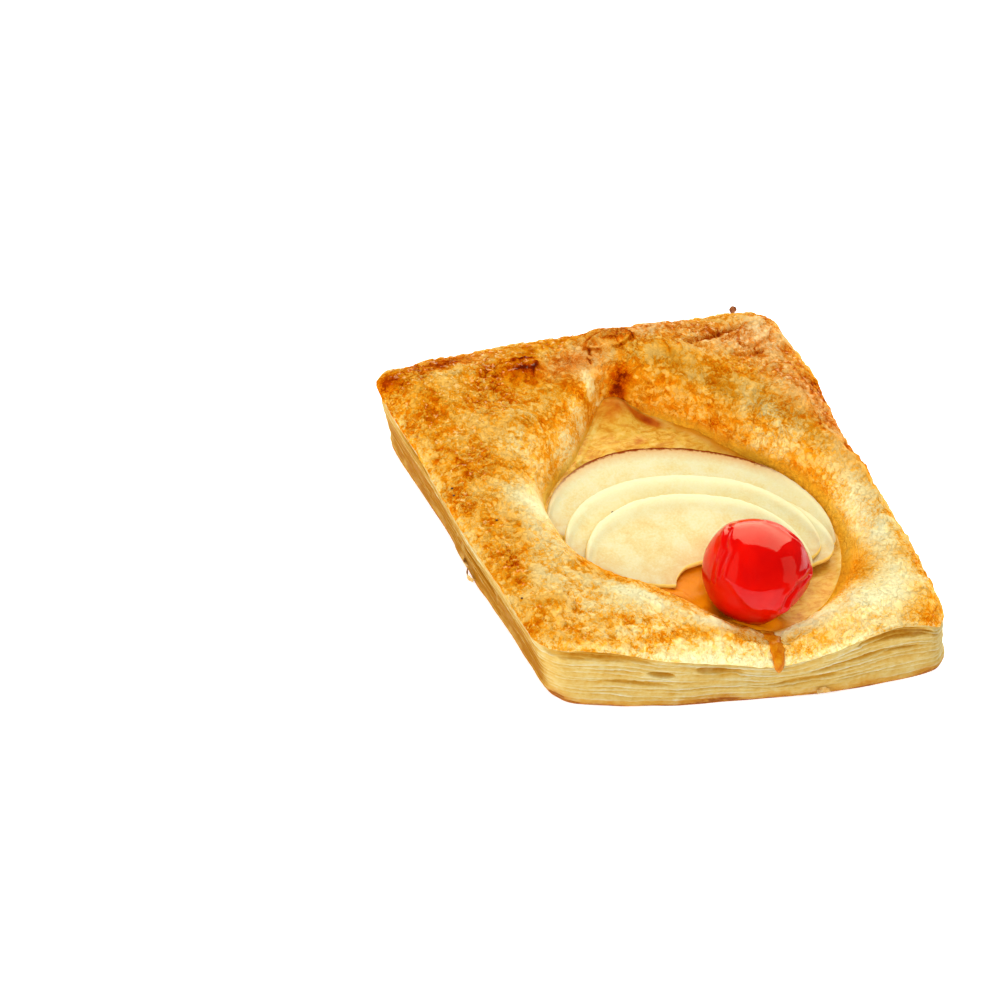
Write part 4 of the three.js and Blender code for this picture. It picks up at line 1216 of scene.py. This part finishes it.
def apple_material(number):
    look = Look(f"apple_flesh_{number}", IOR=1.4, Specular_IOR_Level=APPLE_GLOSS, Coat_Weight=0.03,
                Coat_Roughness=0.25, Subsurface_Weight=APPLE_DEPTH,
                Subsurface_Radius=(0.0025, 0.0018, 0.0009), Subsurface_Scale=1.0)
    from_skin, from_core, along = look.attributes("from_skin", "from_core", "along")
    painted_shadow, side = look.attributes("painted_shadow", "side")
    cloud = look.grain(5, 3.0, 0.55, 0.6)
    fine = look.grain(0.5, 2.0, 0.6)
    flesh = look.ramp(cloud + FLESH_WARMTH[number - 1] + (fine - 0.5) * 0.6, FLESH, APPLE_LIGHT)
    # Painted highlight: a pale band along the rounded skin edge, where it catches the light
    shade = look.blend(from_skin.fit(0.8, 6.5, 0.9, 0.0), flesh, lit(255, 250, 196, APPLE_LIGHT))
    # Painted shadow on a slice just beside the skin edge of the slice lying on it
    shade = look.blend(painted_shadow * 0.6, shade, lit(244, 206, 104, APPLE_LIGHT))
    blush = from_core.fit(8, 0.5) * cloud.fit(0.35, 0.65, 0.2, 0.9)
    shade = look.blend(blush * 0.6, shade, lit(242, 190, 130, APPLE_LIGHT))
    # Painted light: the edges and underside get a deeper, brighter gold standing for light glowing through
    # the flesh into their shade
    shade = look.blend(side * 0.8, shade, lit(252, 214, 96, 1.1))
    if number == 1:
        line = from_skin + (look.grain(0.9, 3.0, 0.6) - 0.5) * 1.8
        strength = look.ramp(along.fit(-1, 1), SKIN_LINE)
        halo = line.fit(4.6, 1.2, 0, 0.8) * strength
        shade = look.blend(halo, shade, lit(232, 148, 36, APPLE_LIGHT))
        shade = look.blend(line.fit(1.7, 1.1) * strength.fit(0.3, 0.9), shade, lit(148, 56, 0, APPLE_LIGHT))
        look.finish(Subsurface_Weight=halo.fit(0.0, 0.6, APPLE_DEPTH, 0.0),
                    Specular_IOR_Level=halo.fit(0.0, 0.6, APPLE_GLOSS, 0.0))
    look.finish(Roughness=fine.fit(0.3, 0.7, 0.35, 0.5), Normal=look.bump(fine, 0.05))
    return look.finish(Base_Color=shade)


def glaze_material():
    look = Look("glaze", IOR=1.45, Roughness=0.12, Specular_IOR_Level=0.1)
    cloud = look.grain(1.6, 3.0, 0.6, 0.6)
    return look.finish(Base_Color=look.ramp(cloud, GLAZE), Normal=look.bump(cloud, 0.1))


def flake_material(name, stops):
    look = Look(name + "_skin", Roughness=0.5, Specular_IOR_Level=0.2)
    cloud = look.grain(1.2, 3.0, 0.6)
    return look.finish(Base_Color=look.ramp(cloud, stops), Normal=look.bump(cloud, 0.1))


def speck_material():
    look = Look("speck", Roughness=0.5)
    return look.finish(Base_Color=look.ramp(look.grain(0.3), SPECK, 1.0))


def cherry_material():
    look = Look("glace_cherry", IOR=1.5, Roughness=0.06, Specular_IOR_Level=0.22, Subsurface_Weight=0.5,
                Subsurface_Radius=(0.006, 0.0006, 0.0003), Subsurface_Scale=1.0)
    shade = look.ramp(look.grain(7), CHERRY, CHERRY_LIGHT)
    return look.finish(Base_Color=shade, Normal=look.bump(look.grain(4, 1.0, 0.4), 0.12))


def floor_material():
    look = Look("pale_floor", Roughness=0.3, IOR=1.35, Emission_Color=(1, 1, 1, 1),
                Emission_Strength=FLOOR_GLOW)
    return look.finish(Base_Color=look.ramp(look.grain(300), FLOOR))


# ---------- stage, light and camera ----------
def view_axes():
    """Directions to the right, up and towards the viewer."""
    turn, lift, roll = (math.radians(v) for v in (CAMERA_TURN, CAMERA_LIFT, CAMERA_ROLL))
    back = Vector((math.sin(turn) * math.cos(lift), -math.cos(turn) * math.cos(lift), math.sin(lift)))
    level = Vector((0, 0, 1)).cross(back).normalized()
    right = level * math.cos(roll) + back.cross(level) * math.sin(roll)
    return right, back.cross(right), back


def place_in_scene(name, data, axes, where):
    made = bpy.data.objects.new(name, data)
    placed = Matrix(axes).transposed().to_4x4()
    placed.translation = where
    made.matrix_world = placed
    bpy.context.scene.collection.objects.link(made)
    return made


def camera():
    right, up, back = view_axes()
    where = Vector((np.array([0, 0, TARGET_HEIGHT]) - PLAN_MIDDLE) / 1000) + back * CAMERA_DISTANCE
    where -= right * ((TARGET_PIXEL[0] - IMAGE_SIZE / 2) / PIXELS_PER_METRE)
    where -= up * ((IMAGE_SIZE / 2 - TARGET_PIXEL[1]) / PIXELS_PER_METRE)
    data = bpy.data.cameras.new("photo_view")
    data.sensor_width = 36
    data.lens = data.sensor_width * PIXELS_PER_METRE * CAMERA_DISTANCE / IMAGE_SIZE
    data.clip_end = 20
    bpy.context.scene.camera = place_in_scene("photo_view", data, (right, up, back), where)


def softbox(name, direction, distance, width, height, radiance, lights_matt):
    right, up, back = view_axes()
    away = (right * direction[0] + up * direction[1] + back * direction[2]).normalized()
    side = right - away * right.dot(away)
    if side.length < 0.6:
        side = up.cross(away)
    side.normalize()
    data = bpy.data.lights.new(name, "AREA")
    data.shape = "RECTANGLE"
    data.size, data.size_y = width, height
    data.energy = radiance * math.pi * width * height
    if not lights_matt:
        data.color = REFLECTION_TINT
    lamp = place_in_scene(name, data, (side, away.cross(side), away), away * distance)
    lamp.visible_camera = False
    lamp.visible_glossy = not lights_matt
    lamp.visible_diffuse = lights_matt


def lights():
    world = bpy.data.worlds.new("studio")
    bpy.context.scene.world = world
    world.use_nodes = True
    background = world.node_tree.nodes["Background"]
    background.inputs[0].default_value = (1, 1, 1, 1)
    background.inputs[1].default_value = WORLD_GLOW
    for name, values in SOFTBOXES.items():
        softbox(name, *values)


def stage():
    mesh = bpy.data.meshes.new("floor")
    size, drop = 4.0, -0.0001
    corners = [(-size, -size, drop), (size, -size, drop), (size, size, drop), (-size, size, drop)]
    mesh.from_pydata(corners, [], [(0, 1, 2, 3)])
    mesh.materials.append(floor_material())
    floor = bpy.data.objects.new("floor", mesh)
    bpy.context.scene.collection.objects.link(floor)


bpy.context.scene.view_settings.view_transform = "Standard"
camera()
stage()
lights()
skin = crust()
layers()
custard()
slices = [apple_slice(number, spec) for number, spec in enumerate(SLICES, start=1)]
cherry()
bpy.context.view_layer.update()
ready = bpy.context.evaluated_depsgraph_get()
trees = [BVHTree.FromObject(piece, ready) for piece in [skin, *slices]]
drip(trees)
flakes(trees)
specks(trees)
